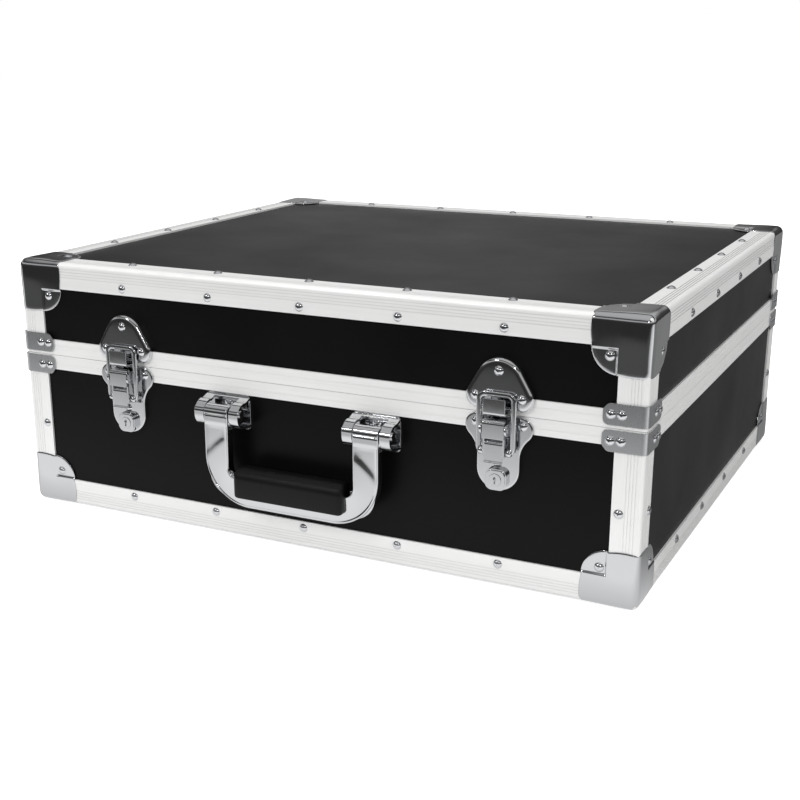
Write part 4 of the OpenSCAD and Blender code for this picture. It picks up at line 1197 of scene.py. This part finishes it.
# ---------------------------------------------------------------------------
# Studio
# ---------------------------------------------------------------------------
@dataclass
class Studio:
    """Camera at the photograph's place, white sweep and soft lamps."""

    eye: tuple[float, float, float] = (0.4659, -1.0155, 0.3785)
    look: tuple[float, float, float] = (-0.43404, 0.84913, -0.30097)
    right: tuple[float, float, float] = (0.89108, 0.45382, -0.0047)
    lens: float = 58.395
    shift: tuple[float, float] = (0.0389, 0.0517)
    aim: tuple[float, float, float] = (0.0, 0.0, 0.12)
    # where the paper that mirrors show ends before the case, and how bright it is behind the front
    paper_front: float = 0.43
    paper_behind: float = 0.24

    def camera(self) -> None:
        """Places the camera from its axes."""
        data = bpy.data.cameras.new("camera")
        data.lens = self.lens
        data.sensor_width = 36.0
        data.shift_x, data.shift_y = self.shift
        data.clip_start, data.clip_end = 0.02, 50.0
        obj = bpy.data.objects.new("camera", data)
        bpy.context.collection.objects.link(obj)
        back = -Vector(self.look).normalized()
        side = Vector(self.right).normalized()
        up = back.cross(side).normalized()
        side = up.cross(back).normalized()
        turn = Matrix((side, up, back)).transposed()
        obj.matrix_world = Matrix.Translation(Vector(self.eye)) @ turn.to_4x4()
        bpy.context.scene.camera = obj

    def lamp(self, name: str, place: tuple, size: tuple, watts: float, glossy: bool = True) -> None:
        """Adds a soft box that looks at the case's middle.

        Args:
            name: the lamp's name.
            place: where it stands, in metres.
            size: its width and height.
            watts: its power.
            glossy: whether it shows in mirrors.
        """
        data = bpy.data.lights.new(name, "AREA")
        data.shape = "RECTANGLE"
        data.size, data.size_y = size
        data.energy = watts
        obj = bpy.data.objects.new(name, data)
        bpy.context.collection.objects.link(obj)
        obj.location = place
        obj.rotation_euler = (Vector(self.aim) - Vector(place)).to_track_quat("-Z", "Y").to_euler()
        obj.visible_glossy = glossy

    def floor(self) -> None:
        """Lays the white sweep; in reflections it ends a little in front of the case."""
        size = 8.0
        points = np.array([[-size, -size, 0], [size, -size, 0], [size, size, 0], [-size, size, 0]])
        obj = mesh_object("studio_floor", points, [(0, 1, 2, 3)], smooth=False)
        material = bpy.data.materials.new("white_sweep")
        tree = emptied(material)
        paint = add(tree, "BsdfDiffuse", {"Color": linear("#d8d8d8")})
        # camera rays: white, with a trace of the case's shadow
        glow = add(tree, "Emission", {"Color": (1, 1, 1, 1), "Strength": 0.62})
        seen = add(tree, "AddShader", {0: paint.outputs[0], 1: glow.outputs[0]})
        # mirror rays: white paper near the case, a dim room beyond its front edge
        where = add(tree, "TexCoord")
        place = add(tree, "SeparateXYZ", {0: where.outputs["Object"]})
        edge = FRONT_Y - self.paper_front
        forward = add(tree, "MapRange", {"Value": place.outputs["Y"], "From Min": edge - 0.455,
                                         "From Max": edge + 0.395})
        tone = add(tree, "ValToRGB", {"Fac": forward.outputs["Result"]},
                   [(0.10, 0.03), (0.29, 0.08), (0.50, 0.09), (0.57, 0.42), (0.68, 0.60), (0.77, 0.76),
                    (0.88, 0.96), (1.0, 1.0)])
        behind = add(tree, "MapRange", {"Value": place.outputs["Y"], "From Min": -0.28, "From Max": -0.10,
                                        "To Min": 1.08, "To Max": self.paper_behind})
        mirror = add(tree, "Emission", {"Color": tone.outputs["Color"],
                                        "Strength": behind.outputs["Result"]})
        by_ray(tree, "OutputMaterial", paint.outputs[0], mirror.outputs[0], seen.outputs[0])
        obj.data.materials.append(material)

    def world(self) -> None:
        """White to the camera, a dim room with a pale ceiling in reflections, soft fill otherwise."""
        world = bpy.data.worlds.new("studio")
        bpy.context.scene.world = world
        tree = emptied(world)
        where = add(tree, "TexCoord")
        height = add(tree, "SeparateXYZ", {0: where.outputs["Generated"]})
        # bands of dark room and pale ceiling, as a light tent shows them
        room = add(tree, "ValToRGB", {"Fac": height.outputs["Z"]},
                   [(0.0, 0.04), (0.22, 0.06), (0.34, 0.55), (0.46, 0.50), (0.56, 0.05), (0.68, 0.06),
                    (0.80, 0.50), (1.0, 0.60)])
        # pale glow low behind the case, which the lid's top mirrors
        toward = add(tree, "VectorMath", {0: where.outputs["Generated"], 1: (-0.42, 0.90, 0.11)},
                     operation="DOT_PRODUCT")
        glow = add(tree, "MapRange", {"Value": toward.outputs["Value"], "From Min": 0.96, "From Max": 0.998,
                                      "To Max": 0.3})
        room = add(tree, "Mix", {0: 1.0, 6: room.outputs["Color"], 7: glow.outputs["Result"]},
                   data_type="RGBA", blend_type="ADD")
        white = (1, 1, 1, 1)
        fill, mirror, seen = [add(tree, "Background", {"Color": colour, "Strength": strength}).outputs[0]
                              for colour, strength in ((white, 0.86), (room.outputs[2], 1.0), (white, 1.0))]
        by_ray(tree, "OutputWorld", fill, mirror, seen)

    def build(self) -> None:
        """Sets the whole studio up."""
        self.camera()
        self.floor()
        self.world()
        self.lamp("soft_box_above", (-0.5, -0.2, 1.9), (1.6, 1.6), 13.0, glossy=False)
        self.lamp("soft_box_front", (-0.9, -1.9, 1.2), (1.0, 0.8), 19.0, glossy=False)
        self.lamp("soft_box_right", (2.0, -0.5, 1.1), (0.9, 0.9), 13.0, glossy=False)
        self.lamp("soft_box_back", (0.4, 2.0, 1.4), (1.2, 0.8), 10.0, glossy=False)
        self.lamp("spark_left", (-0.75, -1.6, 1.35), (0.22, 0.22), 3.0)
        self.lamp("spark_right", (0.9, -1.7, 1.15), (0.18, 0.18), 2.2)
        bpy.context.scene.view_settings.view_transform = "Standard"


# ---------------------------------------------------------------------------
# Carried-over solids
# ---------------------------------------------------------------------------
@dataclass
class HardParts:
    """Dresses the solids whose shape is right as they are."""

    def finish_of(self) -> dict[str, bpy.types.Material]:
        """Works out each node's material.

        Returns:
            Node name to material.
        """
        drawn = {grain: SatinExtrusion(grain).material() for grain in Grain}
        plate = BrightPlate().material()
        rivet = BrightPlate("bright_plated_rivets", "#dcdde0", 0.09, edge=0.15 * MM).material()
        corner = BrightPlate("bright_plated_corners", "#d0d1d3").material()
        brace = BrightPlate("satin_plated_braces", "#c8c9cb", 0.27, wave=0.02 * MM).material()
        by_slot = {
            "laminate": PanelLaminate().material(), "corner_steel": corner, "rivet": rivet,
            "chrome_steel": plate, "hinge_steel": ZINC.material(), "grip": GRIP_ABS.material(),
            "foam": FOAM.material(), "board": BOARD.material(), "rubber": RUBBER.material(),
        }
        found: dict[str, bpy.types.Material] = {}
        for entry in frame["record"]["subparts"]:
            node, slot = entry["node"], entry["material_slot"]
            if node.endswith("_braces"):
                found[node] = brace
            elif slot != "edging":
                found[node] = by_slot[slot]
            elif "rim_frame" in node:
                found[node] = drawn[Grain.ROUND_RIM]
            elif "upright" in node or node == "divider_rails":
                found[node] = drawn[Grain.ALONG_Z]
            elif node.endswith(("left", "right")):
                found[node] = drawn[Grain.ALONG_Y]
            else:
                found[node] = drawn[Grain.ALONG_X]
        return found

    def build(self) -> dict[str, bpy.types.Material]:
        """Dresses every node.

        Returns:
            Node name to material.
        """
        finishes = self.finish_of()
        for node, obj in frame["nodes"].items():
            material = finishes[node]
            if not obj.data.materials:
                obj.data.materials.append(material)
            for number in range(len(obj.material_slots)):
                obj.material_slots[number].material = material
            log.info("dressed %s with %s", node, material.name)
        return finishes


def wall_foam_boxes() -> list[tuple[tuple[float, ...], tuple[float, ...]]]:
    """Works out the foam strip on each wall of the base, which leaves the profiles' inner legs free.

    Returns:
        Lowest and highest corner of each strip.
    """
    end, rim_lip = 12.3 * MM, 8.45 * MM
    low, high = CAP_T + end, CAP_T + BASE_H - rim_lip
    near = LEG_T + PANEL_T
    far = near + FOAM_T
    boxes = []
    for sign in (-1, 1):
        y = sorted((MID_Y + sign * (CASE_D / 2 - near), MID_Y + sign * (CASE_D / 2 - far)))
        boxes.append(((end - CASE_W / 2, y[0], low), (CASE_W / 2 - end, y[1], high)))
        x = sorted((sign * (CASE_W / 2 - near), sign * (CASE_W / 2 - far)))
        boxes.append(((x[0], MID_Y - CASE_D / 2 + end, low), (x[1], MID_Y + CASE_D / 2 - end, high)))
    return boxes


def main() -> None:
    """Builds the scene in order."""
    logging.basicConfig(level=logging.INFO, format="%(name)s: %(message)s")
    Studio().build()
    finishes = HardParts().build()
    chrome, corner = finishes["latch_left_plate"], finishes["base_corner_caps"]
    CornerCaps("base_cap_pressings", "base_corner_caps", "base", CAP_T, 1.0).build(corner)
    CornerCaps("lid_cap_pressings", "lid_corner_caps", "lid", LID_TOP, -1.0).build(corner)
    for side, sign in (("left", -1), ("right", 1)):
        Latch(side, sign * LATCH_X).build(chrome)
    Handle().build(chrome, finishes["handle_grip"])
    foam = finishes["base_floor_pad"]
    for name, node, body in (("floor_foam", "base_floor_pad", "base"), ("lid_foam", "lid_pad", "lid")):
        FoamSheet(name, node, body).build([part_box(node)], foam)
    FoamSheet("wall_foam", "base_wall_lining", "base").build(wall_foam_boxes(), foam)


if __name__ == "__main__":
    main()
